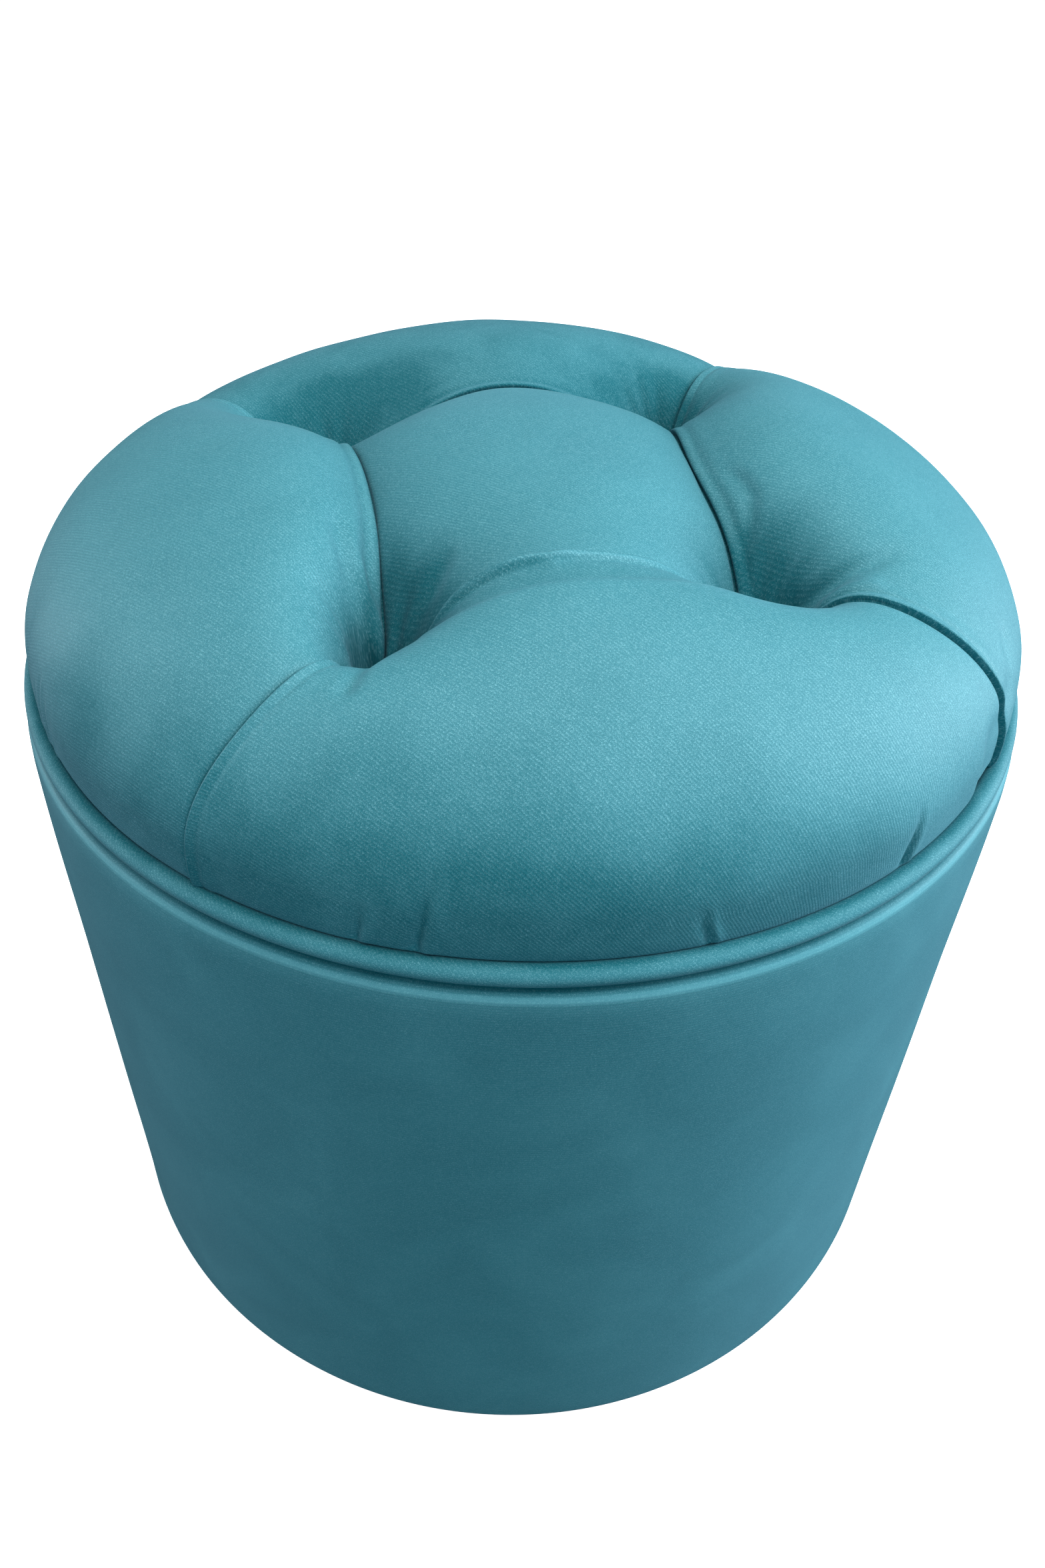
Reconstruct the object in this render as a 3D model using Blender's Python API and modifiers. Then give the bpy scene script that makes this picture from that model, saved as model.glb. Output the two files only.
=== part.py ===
"""A round pouf: a drum on a timber frame, with a deep-tufted seat and a piped seam.

From the floor up: four glides, a dust cover, a plywood base ring, six battens and a plywood seat
board, all inside a hardboard wrap, a foam wrap and a velvet band. On the seat board lie a foam
block, a layer of wadding and the velvet top, drawn down at four tufts by twine that passes through
the board. The top and the band meet at the piping. Metres, +Z up, origin on the floor under the
middle of the drum. The vertical seam of the band and the slit of the hardboard lie at the back, +Y.
"""

import math

import bmesh
import bpy
from mathutils import Vector

# Outer form
DRUM_RADIUS = 0.200  # outside of the velvet band
SEAM_HEIGHT = 0.306  # middle of the piping above the floor
CROWN_RISE = 0.0984  # top of the untufted dome above the middle of the piping
CROWN_LEVEL = 0.0895  # height above the middle of the piping at which the crown line levels off
CROWN_EASE = 0.002  # how gradually it does
SHOULDER_INSET = 0.0054  # the cushion at its widest, inside the band
SHOULDER_RISE = 0.0156  # the cushion's widest line above the middle of the piping
DOME_POWER = 2.05  # 2 is an ellipse; more is squarer
CORNER_RADIUS = 0.005  # the band where it turns under the drum

# Tufting
TUFT_CIRCLE_RADIUS = 0.1045  # tufts from the middle of the seat
TUFT_STRAYS = (0.0006, -0.0046, 0.0028, 0.0011)  # each tuft outside that circle
TUFT_ANGLES = (55.9, 147.3, 243.4, 322.7)  # degrees, as marked out by hand, a little off square
RIM_ANGLES = (57.5, 149.0, 238.4, 331.0)  # degrees, where each tuft's pleat meets the piping
TUFT_FLOOR = 0.024  # bottom of a tuft's pocket above the middle of the piping
POCKET_RADIUS = 0.0085  # flat floor of the pocket, where the button sits
POCKET_WALL = 0.016  # width over which the pocket's wall rises to the lobes
FOLD_RISE = 0.067  # top of the fold between two tufts above the middle of the piping
FOLD_BOW = 0.006  # the fold halfway along, towards the middle from the line between its tufts
PLEAT_DROP = 0.009  # the pleat from a tuft to the piping, below the crown line
CLOTH_REACH = 0.024  # distance over which a pull on the stretched cloth fades
TUFT_REACH = 0.0155  # distance over which the steeper pull of a tuft fades

# Layers of the upholstery
CLEARANCE = 0.0003  # between pieces that touch
CUT_PAST = 0.004  # a cutter, past the face that it opens
CLOTH = 0.0012  # velvet with its backing
WADDING = 0.008
SIDE_FOAM = 0.010
HARDBOARD = 0.003
HARDBOARD_SLIT = 0.002  # the sheet's two ends, which meet at the back
DUST_CLOTH = 0.0008
CORD_RADIUS = 0.0025  # cord inside the piping
CORD_SLIT = 0.0003  # between the two plies of the piping's flange
SEAM_ALLOWANCE = 0.0088  # from the middle of the piping inwards
PIPING_INSET = 0.0007  # outside of the piping, inside the band
CREASE_DEPTH = 0.0008  # between the piping and the seat, where the two meet
TURN_IN = 0.042  # width of the band stapled under the drum
DUST_INSET = 0.011  # edge of the dust cover, inside the band
SHOULDER_TUCK = 0.0004  # the seat just above the seam, inside its widest line

# Frame
BOARD = 0.015  # plywood of the seat board and base ring
BASE_RING_WIDTH = 0.065
BATTENS = 6
BATTEN_WIDTH = 0.030
BATTEN_DEPTH = 0.020
BATTEN_BEVEL = 0.0015

# Fasteners, glides and tufting twine
SCREW_RADIUS = 0.002
SCREW_HEAD_RADIUS = 0.004
SCREW_HEAD = 0.0028
SCREW_LENGTH = 0.045
SCREW_POINT = 0.005
GLIDES = 4
GLIDE_RADIUS = 0.012
GLIDE_HEIGHT = 0.005
GLIDE_CHAMFER = 0.0015
GLIDE_INSET = 0.010  # middle of a glide, inside the edge of the turned-in band
GLIDE_SCREW_RADIUS = 0.0015
GLIDE_SCREW_HEAD_RADIUS = 0.0032
GLIDE_SCREW_HEAD = 0.0022
GLIDE_SCREW_LENGTH = 0.016
TWINE_RADIUS = 0.0012
TWINE_TAIL = 0.018  # twine left hanging below its knot
KNOT_RADIUS = 0.0032
KNOT_HEIGHT = 0.005
BUTTON_RADIUS = 0.0065
BUTTON_HEIGHT = 0.0055
DISC_RADIUS = 0.011  # disc that spreads the twine's pull under the seat board
DISC_HEIGHT = 0.002

# Fineness of the mesh
ROUND_STEPS = 48  # sides of what is turned about the drum's axis
SMALL_STEPS = 12  # sides of buttons, glides and discs
SCREW_STEPS = 8  # sides of screws and twine
CORD_STEPS = 8  # sides of the cord and of the sleeve round it
PLEAT_STEPS = 24  # places along each fold and pleat from which its pull is worked out

# Heights and radii that follow
DUST_BOTTOM = GLIDE_HEIGHT + CLEARANCE
TURN_IN_BOTTOM = DUST_BOTTOM + DUST_CLOTH + CLEARANCE
BASE_BOTTOM = TURN_IN_BOTTOM + CLOTH + CLEARANCE
BASE_TOP = BASE_BOTTOM + BOARD
BAND_FLANGE = SEAM_HEIGHT - CORD_SLIT / 2 - CLOTH - CLEARANCE - CLOTH / 2
FRAME_TOP = BAND_FLANGE - CLOTH / 2 - CLEARANCE
SEAT_BOARD_BOTTOM = FRAME_TOP - BOARD
FOAM_OUTER = DRUM_RADIUS - CLOTH - CLEARANCE
FOAM_INNER = FOAM_OUTER - SIDE_FOAM
WRAP_OUTER = FOAM_INNER - CLEARANCE
WRAP_INNER = WRAP_OUTER - HARDBOARD
FRAME_RADIUS = WRAP_INNER - CLEARANCE
SLEEVE_RADIUS = CORD_RADIUS + CLEARANCE + CLOTH / 2  # to the middle of the cloth round the cord
PIPING_OUTER = SLEEVE_RADIUS + CLOTH / 2
PIPING_CIRCLE_RADIUS = DRUM_RADIUS - PIPING_OUTER - PIPING_INSET
FLANGE_END = PIPING_CIRCLE_RADIUS - SEAM_ALLOWANCE
BASE_OPENING_RADIUS = FRAME_RADIUS - BASE_RING_WIDTH
GLIDE_CIRCLE_RADIUS = DRUM_RADIUS - TURN_IN - GLIDE_INSET
COVER_FLANGE = SEAM_HEIGHT + CORD_SLIT / 2 + CLOTH + CLEARANCE
SHOULDER_RADIUS = DRUM_RADIUS - SHOULDER_INSET
SHOULDER_HEIGHT = SEAM_HEIGHT + SHOULDER_RISE
DOME_RISE = CROWN_RISE - SHOULDER_RISE
POCKET_FLOOR = SEAM_HEIGHT + TUFT_FLOOR
FOLD_TOP = SEAM_HEIGHT + FOLD_RISE
TUFT_BOTTOM = POCKET_FLOOR  # outside of the velvet in the pocket
DISC_TOP = SEAT_BOARD_BOTTOM - CLEARANCE
DISC_BOTTOM = DISC_TOP - DISC_HEIGHT

# Colours as linear RGB, then roughness and metallic value
VELVET = ("teal_velvet", (0.030, 0.250, 0.310), 0.75, 0.0)
FOAM = ("cream_foam", (0.80, 0.74, 0.55), 0.95, 0.0)
FLEECE = ("white_wadding", (0.86, 0.86, 0.84), 0.95, 0.0)
PLYWOOD = ("birch_plywood", (0.62, 0.43, 0.25), 0.70, 0.0)
PINE = ("pine", (0.68, 0.46, 0.24), 0.70, 0.0)
BROWN_BOARD = ("hardboard", (0.24, 0.13, 0.065), 0.75, 0.0)
DUST = ("black_dust_cloth", (0.012, 0.012, 0.013), 0.95, 0.0)
CORD = ("white_cord", (0.78, 0.77, 0.72), 0.90, 0.0)
TWINE = ("natural_twine", (0.66, 0.58, 0.42), 0.80, 0.0)
STEEL = ("zinc_steel", (0.62, 0.60, 0.55), 0.35, 1.0)
PLASTIC = ("brown_plastic", (0.045, 0.028, 0.018), 0.45, 0.0)


def material(finish):
    """The material of a finish, made once."""
    name, colour, roughness, metallic = finish
    found = bpy.data.materials.get(name)
    if found:
        return found
    made = bpy.data.materials.new(name)
    made.use_nodes = True
    shader = made.node_tree.nodes["Principled BSDF"]
    shader.inputs["Base Color"].default_value = (*colour, 1.0)
    shader.inputs["Roughness"].default_value = roughness
    shader.inputs["Metallic"].default_value = metallic
    return made


def collection(name):
    """A collection of the scene, made once."""
    found = bpy.data.collections.get(name)
    if not found:
        found = bpy.data.collections.new(name)
        bpy.context.scene.collection.children.link(found)
    return found


def place(name, mesh, finish, location=(0, 0, 0), angle=0.0, group="pouf"):
    """An object of the mesh, in its collection, turned about Z by an angle in radians."""
    made = bpy.data.objects.new(name, mesh)
    if finish:
        mesh.materials.clear()
        mesh.materials.append(material(finish))
    made.location = location
    made.rotation_euler = (0, 0, angle)
    collection(group).objects.link(made)
    return made


def as_cutter(made):
    """Marks an object as a cutter, which no render shows."""
    made.hide_render = True
    made.display_type = "WIRE"
    return made


def profile_mesh(name, points, closed):
    """A mesh of the profile's points (radius, height) and the edges that join them in turn."""
    mesh = bpy.data.meshes.new(name)
    count = len(points)
    edges = [(i, (i + 1) % count) for i in range(count if closed else count - 1)]
    mesh.from_pydata([(r, 0.0, z) for r, z in points], edges, [])
    return mesh


def add_screw(made, steps, sweep=2 * math.pi):
    """Turns the object's profile about Z. A profile runs down its outer side, top to bottom."""
    turn = made.modifiers.new("turn", "SCREW")
    turn.axis = "Z"
    turn.angle = sweep
    turn.steps = turn.render_steps = steps
    turn.use_merge_vertices = sweep >= 2 * math.pi
    turn.merge_threshold = 0.00001
    turn.use_smooth_shade = True
    return turn


def add_solidify(made, thickness, offset):
    """Gives an open surface a thickness. Offset -1 grows inwards, 0 to both sides."""
    thick = made.modifiers.new("thickness", "SOLIDIFY")
    thick.thickness = thickness
    thick.offset = offset
    return thick


def cut_with(made, *groups):
    """Cuts the object with every cutter of the named collections."""
    for group in groups:
        cut = made.modifiers.new("cut_" + group, "BOOLEAN")
        cut.operation = "DIFFERENCE"
        cut.solver = "EXACT"
        cut.operand_type = "COLLECTION"
        cut.collection = collection(group)


def turned(name, points, finish, steps, closed=True, **where):
    """A solid turned from its profile: a ring if closed, otherwise a piece that meets the axis."""
    made = place(name, profile_mesh(name, points, closed), finish, **where)
    add_screw(made, steps)
    return made


def arc(centre, radius, start, end, steps):
    """Points (radius, height) along an arc, between angles in degrees from straight outwards."""
    turns = [math.radians(start + (end - start) * i / steps) for i in range(steps + 1)]
    return [(centre[0] + radius * math.cos(t), centre[1] + radius * math.sin(t)) for t in turns]


def polar(radius, degrees, height=0.0):
    """A point at a radius and angle round the drum's axis."""
    turn = math.radians(degrees)
    return (radius * math.cos(turn), radius * math.sin(turn), height)


def batten_angles():
    """Directions of the battens, in degrees."""
    return [30 + 360 * i / BATTENS for i in range(BATTENS)]


def glide_angles():
    """Directions of the glides, in degrees."""
    return [45 + 360 * i / GLIDES for i in range(GLIDES)]


def batten_circle():
    """Distance of a batten's middle from the axis, its outer corners just inside the wrap."""
    return math.sqrt(FRAME_RADIUS**2 - (BATTEN_WIDTH / 2) ** 2) - BATTEN_DEPTH / 2


def screw_profile(radius, head_radius, head, length, grow=0.0, above=0.0):
    """A countersunk screw hanging from its head's flat at height 0, grown all round for its hole."""
    points = [(0.0, above), (head_radius + grow, above)]
    if above:
        points.append((head_radius + grow, 0.0))
    points.append((radius + grow, -head))
    points.append((radius + grow, -(length - SCREW_POINT) - grow))
    points.append((0.0, -length - grow))
    return points


def frame_screw_spots(upwards):
    """Each frame screw's place: through the base ring from below, or the seat board from above."""
    height = BASE_BOTTOM + CLEARANCE if upwards else FRAME_TOP - CLEARANCE
    return [polar(batten_circle(), angle, height) for angle in batten_angles()]


def make_screws(name, spots, upwards, sizes, cutters):
    """A row of countersunk screws, numbered from 1, and the cutters of their holes."""
    tilt = math.pi if upwards else 0.0
    for number, spot in enumerate(spots, 1):
        screw = turned(f"{name}_{number}", screw_profile(*sizes), STEEL, SCREW_STEPS, False,
                       location=spot)
        hole = turned(f"{name}_hole_{number}", screw_profile(*sizes, CLEARANCE, CUT_PAST), None,
                      SCREW_STEPS, False, location=spot, group=cutters)
        screw.rotation_euler.x = hole.rotation_euler.x = tilt
        as_cutter(hole)


def make_frame_screws():
    """The screws that hold the base ring and the seat board to the ends of the battens."""
    sizes = (SCREW_RADIUS, SCREW_HEAD_RADIUS, SCREW_HEAD, SCREW_LENGTH)
    make_screws("base_screw", frame_screw_spots(True), True, sizes, "base_screw_holes")
    make_screws("seat_screw", frame_screw_spots(False), False, sizes, "seat_screw_holes")


def make_twine_holes():
    """Cutters for the twine's way through the velvet, wadding, foam and seat board."""
    radius = TWINE_RADIUS + CLEARANCE
    top = TUFT_BOTTOM + POCKET_WALL
    bottom = DISC_BOTTOM
    points = [(0.0, top), (radius, top), (radius, bottom), (0.0, bottom)]
    for number, tuft in enumerate(tuft_points(), 1):
        as_cutter(turned(f"twine_hole_{number}", points, None, SCREW_STEPS, False,
                         location=(*tuft, 0.0), group="twine_holes"))


def plate_profile(outer, bottom, top, inner=0.0):
    """Profile of a flat disc, or of a flat ring where it has an inner radius."""
    if inner:
        return [(inner, top), (outer, top), (outer, bottom), (inner, bottom)]
    return [(0.0, top), (outer, top), (outer, bottom), (0.0, bottom)]


def make_frame():
    """Base ring, battens and seat board."""
    base = turned("base_ring", plate_profile(FRAME_RADIUS, BASE_BOTTOM, BASE_TOP,
                                             BASE_OPENING_RADIUS), PLYWOOD, ROUND_STEPS)
    cut_with(base, "base_screw_holes", "glide_screw_holes")
    board = turned("seat_board", plate_profile(FRAME_RADIUS, SEAT_BOARD_BOTTOM, FRAME_TOP),
                   PLYWOOD, ROUND_STEPS, False)
    cut_with(board, "seat_screw_holes", "twine_holes")
    low = BASE_TOP + CLEARANCE
    high = SEAT_BOARD_BOTTOM - CLEARANCE
    for number, angle in enumerate(batten_angles(), 1):
        mesh = bpy.data.meshes.new(f"batten_{number}")
        shape = bmesh.new()
        bmesh.ops.create_cube(shape, size=1.0)
        bmesh.ops.scale(shape, vec=(BATTEN_DEPTH, BATTEN_WIDTH, high - low), verts=shape.verts)
        shape.to_mesh(mesh)
        shape.free()
        batten = place(mesh.name, mesh, PINE, polar(batten_circle(), angle, (low + high) / 2),
                       math.radians(angle))
        bevel = batten.modifiers.new("sawn_edges", "BEVEL")
        bevel.width = BATTEN_BEVEL
        bevel.segments = 1
        cut_with(batten, "base_screw_holes", "seat_screw_holes")


def make_side_wrap():
    """The hardboard sheet bent round the frame; its two ends meet at a slit at the back."""
    slit = HARDBOARD_SLIT / WRAP_OUTER
    points = [(WRAP_OUTER, FRAME_TOP), (WRAP_OUTER, BASE_BOTTOM)]
    wrap = place("side_wrap", profile_mesh("side_wrap", points, False), BROWN_BOARD,
                 angle=math.pi / 2 + slit / 2)
    add_screw(wrap, ROUND_STEPS, 2 * math.pi - slit)
    add_solidify(wrap, HARDBOARD, -1)


def make_side_foam():
    """The foam sheet glued round the hardboard, rounded where the band turns over it."""
    top = SEAM_HEIGHT - PIPING_OUTER - 2 * CLEARANCE - CLOTH
    inset = CORNER_RADIUS - CLOTH - CLEARANCE
    low_corner = (FOAM_OUTER - inset, BASE_BOTTOM + inset)
    high_corner = (FOAM_OUTER - inset, top - inset)
    points = [(FOAM_INNER, top)]
    points += arc(high_corner, inset, 90, 0, 2)
    points += arc(low_corner, inset, 0, -90, 2)
    points.append((FOAM_INNER, BASE_BOTTOM))
    turned("side_foam", points, FOAM, ROUND_STEPS)


def make_side_band():
    """The velvet round the drum: from its seam allowance, under the piping, down and under."""
    middle = DRUM_RADIUS - CLOTH / 2
    cradle = PIPING_OUTER + CLEARANCE + CLOTH / 2
    piping = (PIPING_CIRCLE_RADIUS, SEAM_HEIGHT)
    rise = math.degrees(math.asin((BAND_FLANGE - SEAM_HEIGHT) / cradle))
    under = TURN_IN_BOTTOM + CLOTH / 2
    turn = CORNER_RADIUS - CLOTH / 2
    points = [(FLANGE_END, BAND_FLANGE)]
    points += arc(piping, cradle, -180 - rise, -52, 4)
    points.append((middle, SEAM_HEIGHT - cradle - turn / 2))
    points += arc((middle - turn, under + turn), turn, 0, -90, 3)
    points.append((DRUM_RADIUS - TURN_IN, under))
    band = place("side_band", profile_mesh("side_band", points, False), VELVET)
    add_screw(band, ROUND_STEPS)
    add_solidify(band, CLOTH, 0)


def make_piping():
    """The piping: a strip of velvet folded round a cord, its two plies caught in the seam."""
    centre = (PIPING_CIRCLE_RADIUS, SEAM_HEIGHT)
    ply = (CORD_SLIT + CLOTH) / 2
    mouth = math.degrees(math.asin(ply / SLEEVE_RADIUS))
    points = [(FLANGE_END, SEAM_HEIGHT + ply)]
    points += arc(centre, SLEEVE_RADIUS, 180 - mouth, -180 + mouth, CORD_STEPS)
    points.append((FLANGE_END, SEAM_HEIGHT - ply))
    sleeve = place("piping_sleeve", profile_mesh("piping_sleeve", points, False), VELVET)
    add_screw(sleeve, ROUND_STEPS)
    add_solidify(sleeve, CLOTH, 0)
    turned("piping_cord", arc(centre, CORD_RADIUS, 180, -180, CORD_STEPS)[:-1], CORD, ROUND_STEPS)


def make_dust_cover():
    """The thin cloth that closes the drum below, holed for the glides' screws."""
    outline = bpy.data.curves.new("dust_cover", "CURVE")
    outline.dimensions = "2D"
    outline.fill_mode = "BOTH"
    outline.extrude = DUST_CLOTH / 2
    reach = DRUM_RADIUS - DUST_INSET
    rounds = [((0.0, 0.0, 0.0), reach, ROUND_STEPS)]
    hole = GLIDE_SCREW_RADIUS + CLEARANCE
    rounds += [(polar(GLIDE_CIRCLE_RADIUS, a), hole, SCREW_STEPS) for a in glide_angles()]
    for middle, radius, steps in rounds:
        ring = outline.splines.new("POLY")
        ring.points.add(steps - 1)
        ring.use_cyclic_u = True
        for i, point in enumerate(ring.points):
            x, y, _ = polar(radius, 360 * i / steps)
            point.co = (middle[0] + x, middle[1] + y, 0.0, 1.0)
    place("dust_cover", outline, DUST, (0, 0, DUST_BOTTOM + DUST_CLOTH / 2))


def make_glides():
    """The plastic glides that the pouf stands on, each with its countersunk screw."""
    hole = GLIDE_SCREW_RADIUS + CLEARANCE
    sink = GLIDE_SCREW_HEAD_RADIUS + CLEARANCE
    points = [(hole, GLIDE_HEIGHT), (GLIDE_RADIUS, GLIDE_HEIGHT), (GLIDE_RADIUS, GLIDE_CHAMFER),
              (GLIDE_RADIUS - GLIDE_CHAMFER, 0.0), (sink, 0.0), (sink, CLEARANCE),
              (hole, GLIDE_SCREW_HEAD + CLEARANCE)]
    for number, angle in enumerate(glide_angles(), 1):
        turned(f"glide_{number}", points, PLASTIC, SMALL_STEPS, location=polar(GLIDE_CIRCLE_RADIUS, angle))
    sizes = (GLIDE_SCREW_RADIUS, GLIDE_SCREW_HEAD_RADIUS, GLIDE_SCREW_HEAD, GLIDE_SCREW_LENGTH)
    spots = [polar(GLIDE_CIRCLE_RADIUS, angle, CLEARANCE) for angle in glide_angles()]
    make_screws("glide_screw", spots, True, sizes, "glide_screw_holes")


def tuft_points():
    """The tufts in plan."""
    return [Vector(polar(TUFT_CIRCLE_RADIUS + stray, angle)).to_2d()
            for stray, angle in zip(TUFT_STRAYS, TUFT_ANGLES)]


def spoke_shares():
    """Spokes of one quarter, as shares of the way from tuft to tuft, closer by the tufts."""
    across = TUFT_CIRCLE_RADIUS * math.sqrt(2)
    first = POCKET_RADIUS / across
    wall = POCKET_WALL / across
    half = [0.0, first, first + 0.4 * wall, first + wall, (first + wall + 0.88) / 3]
    return half + [1 - share for share in reversed(half[1:])]


def fold_point(quarter, share):
    """The point of the fold between two tufts at a share of its length, in plan."""
    tufts = tuft_points()
    point = tufts[quarter].lerp(tufts[(quarter + 1) % 4], share)
    return point - point.normalized() * FOLD_BOW * math.sin(math.pi * share)


def rim_point(quarter, share):
    """The point of the cushion's widest line that faces a point of a fold, in plan."""
    start = RIM_ANGLES[quarter]
    sweep = (RIM_ANGLES[(quarter + 1) % 4] - start) % 360
    return Vector(polar(SHOULDER_RADIUS, start + sweep * share)).to_2d()


def on_pocket(point, tuft):
    """The point of the edge of a tuft's pocket that lies the same way from the tuft."""
    return tuft + (point - tuft).normalized() * POCKET_RADIUS


def crown_line(radius):
    """Height that the lobes would have without tufts, at a distance from the axis."""
    share = min(radius / SHOULDER_RADIUS, 1.0)
    dome = SHOULDER_HEIGHT + DOME_RISE * (1 - share**DOME_POWER) ** (1 / DOME_POWER)
    level = SEAM_HEIGHT + CROWN_LEVEL
    return level - CROWN_EASE * math.log1p(math.exp((level - dome) / CROWN_EASE))


def tuft_pull(point):
    """How far the nearest tuft draws the seat down at a point in plan."""
    near = min((point - tuft).length for tuft in tuft_points())
    fade = math.exp(-max(near - POCKET_RADIUS, 0.0) / TUFT_REACH)
    return (crown_line(point.length) - POCKET_FLOOR) * fade


def pleat_pulls():
    """Points along the folds and pleats, each with its pull on the seat beside the tufts' own."""
    pulls = []
    for quarter, tuft in enumerate(tuft_points()):
        for step in range(1, PLEAT_STEPS):
            share = step / PLEAT_STEPS
            fold = fold_point(quarter, share)
            bottom = POCKET_FLOOR + (FOLD_TOP - POCKET_FLOOR) * 4 * share * (1 - share)
            depth = max(crown_line(fold.length) - bottom, 0.0)
            pulls.append((fold, max(depth**3 - tuft_pull(fold) ** 3, 0.0) ** (1 / 3)))
            pulls.append((tuft.lerp(rim_point(quarter, 0.0), share), PLEAT_DROP))
    return pulls


def seat_height(point, pulls):
    """Height of the tufted seat at a point in plan: the tufts and the strongest pull lower it."""
    strongest = max(pull * math.exp(-(point - spot).length / CLOTH_REACH) for spot, pull in pulls)
    edge = min((SHOULDER_RADIUS - point.length) / CLOTH_REACH, 1.0)
    drop = (tuft_pull(point) ** 3 + strongest**3) ** (1 / 3) * math.sqrt(max(edge, 0.0))
    return max(crown_line(point.length) - drop, POCKET_FLOOR)


def seat_rings(flange):
    """Rings of points of the seat's outer face, from the seam to the ring about the middle."""
    spokes = [(quarter, share) for quarter in range(4) for share in spoke_shares()]
    count = len(spokes)
    crease = (PIPING_OUTER + CLEARANCE + CREASE_DEPTH) * math.sqrt(0.5)
    rims = [(PIPING_CIRCLE_RADIUS - crease, SEAM_HEIGHT + crease),
            (SHOULDER_RADIUS - SHOULDER_TUCK, SEAM_HEIGHT + SHOULDER_RISE * 0.6)]
    if flange:
        rims = [(FLANGE_END, COVER_FLANGE), (PIPING_CIRCLE_RADIUS - PIPING_OUTER, COVER_FLANGE)] + rims
    quarter_count = count // 4
    shoulder = [rim_point(i // quarter_count, i % quarter_count / quarter_count) for i in range(count)]
    rings = []
    for radius, height in rims:
        rings.append([Vector((*(point.normalized() * radius), height)) for point in shoulder])
    reach = SHOULDER_RADIUS - TUFT_CIRCLE_RADIUS
    mid_wall = POCKET_RADIUS + 0.4 * POCKET_WALL
    rows = [(0.0, 0), (0.05, 0), (0.2, 0), (0.45, 0), (0.72, 0), (1 - mid_wall / reach, 0),
            (1 - POCKET_RADIUS / reach, 0), (1.0, 0), (1.0, POCKET_RADIUS / TUFT_CIRCLE_RADIUS),
            (1.0, mid_wall / TUFT_CIRCLE_RADIUS), (1.0, 0.32), (1.0, 0.64)]
    middle_row = rows.index((1.0, 0))
    tufts = tuft_points()
    pulls = pleat_pulls()
    for row, (out, inwards) in enumerate(rows):
        ring = []
        for i, (quarter, share) in enumerate(spokes):
            point = shoulder[i].lerp(fold_point(quarter, share), out) * (1 - inwards)
            nearest = round(i / quarter_count)
            steps = (i - nearest * quarter_count, row - middle_row)
            if steps != (0, 0) and max(abs(steps[0]), abs(steps[1])) == 1:
                point = on_pocket(point, tufts[nearest % 4])
            ring.append(Vector((*point, seat_height(point, pulls))))
        rings.append(ring)
    return rings


def seat_surface(flange=True):
    """The seat's outer face as an open surface, from the seam up to the middle mound."""
    shape = bmesh.new()
    spots = seat_rings(flange)
    rings = [[shape.verts.new(point) for point in ring] for ring in spots]
    count = len(rings[0])
    for lower, upper in zip(rings, rings[1:]):
        for i in range(count):
            j = (i + 1) % count
            shape.faces.new((lower[i], lower[j], upper[j], upper[i]))
    middle = shape.verts.new((0, 0, sum(point.z for point in spots[-1]) / count))
    for i in range(count):
        shape.faces.new((rings[-1][i], rings[-1][(i + 1) % count], middle))
    bmesh.ops.triangulate(shape, faces=shape.faces, quad_method="SHORT_EDGE")
    shape.normal_update()
    return shape


def seat_layer(name, shape, finish):
    """An object of a seat surface, shaded smooth."""
    for face in shape.faces:
        face.smooth = True
    mesh = bpy.data.meshes.new(name)
    shape.to_mesh(mesh)
    shape.free()
    return place(name, mesh, finish)


def make_seat():
    """The velvet top, the wadding under it and the foam block on the seat board."""
    cover = seat_layer("seat_cover", seat_surface(), VELVET)
    add_solidify(cover, CLOTH, -1)
    cut_with(cover, "twine_holes")
    wadding = seat_layer("seat_wadding", seat_surface(flange=False), FLEECE)
    under = CLOTH + CLEARANCE
    add_solidify(wadding, WADDING, -1 - 2 * under / WADDING)
    cut_with(wadding, "twine_holes")
    shape = seat_surface(flange=False)
    depth = under + WADDING + CLEARANCE
    for vertex in shape.verts:
        vertex.co -= vertex.normal * depth
    rim = [edge for edge in shape.edges if edge.is_boundary]
    skirt = bmesh.ops.extrude_edge_only(shape, edges=rim)["geom"]
    for vertex in [item for item in skirt if isinstance(item, bmesh.types.BMVert)]:
        vertex.co.z = FRAME_TOP + CLEARANCE
    rim = [edge for edge in shape.edges if edge.is_boundary]
    bmesh.ops.edgeloop_fill(shape, edges=rim)
    bmesh.ops.recalc_face_normals(shape, faces=shape.faces)
    foam = seat_layer("seat_foam", shape, FOAM)
    cut_with(foam, "twine_holes")


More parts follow.
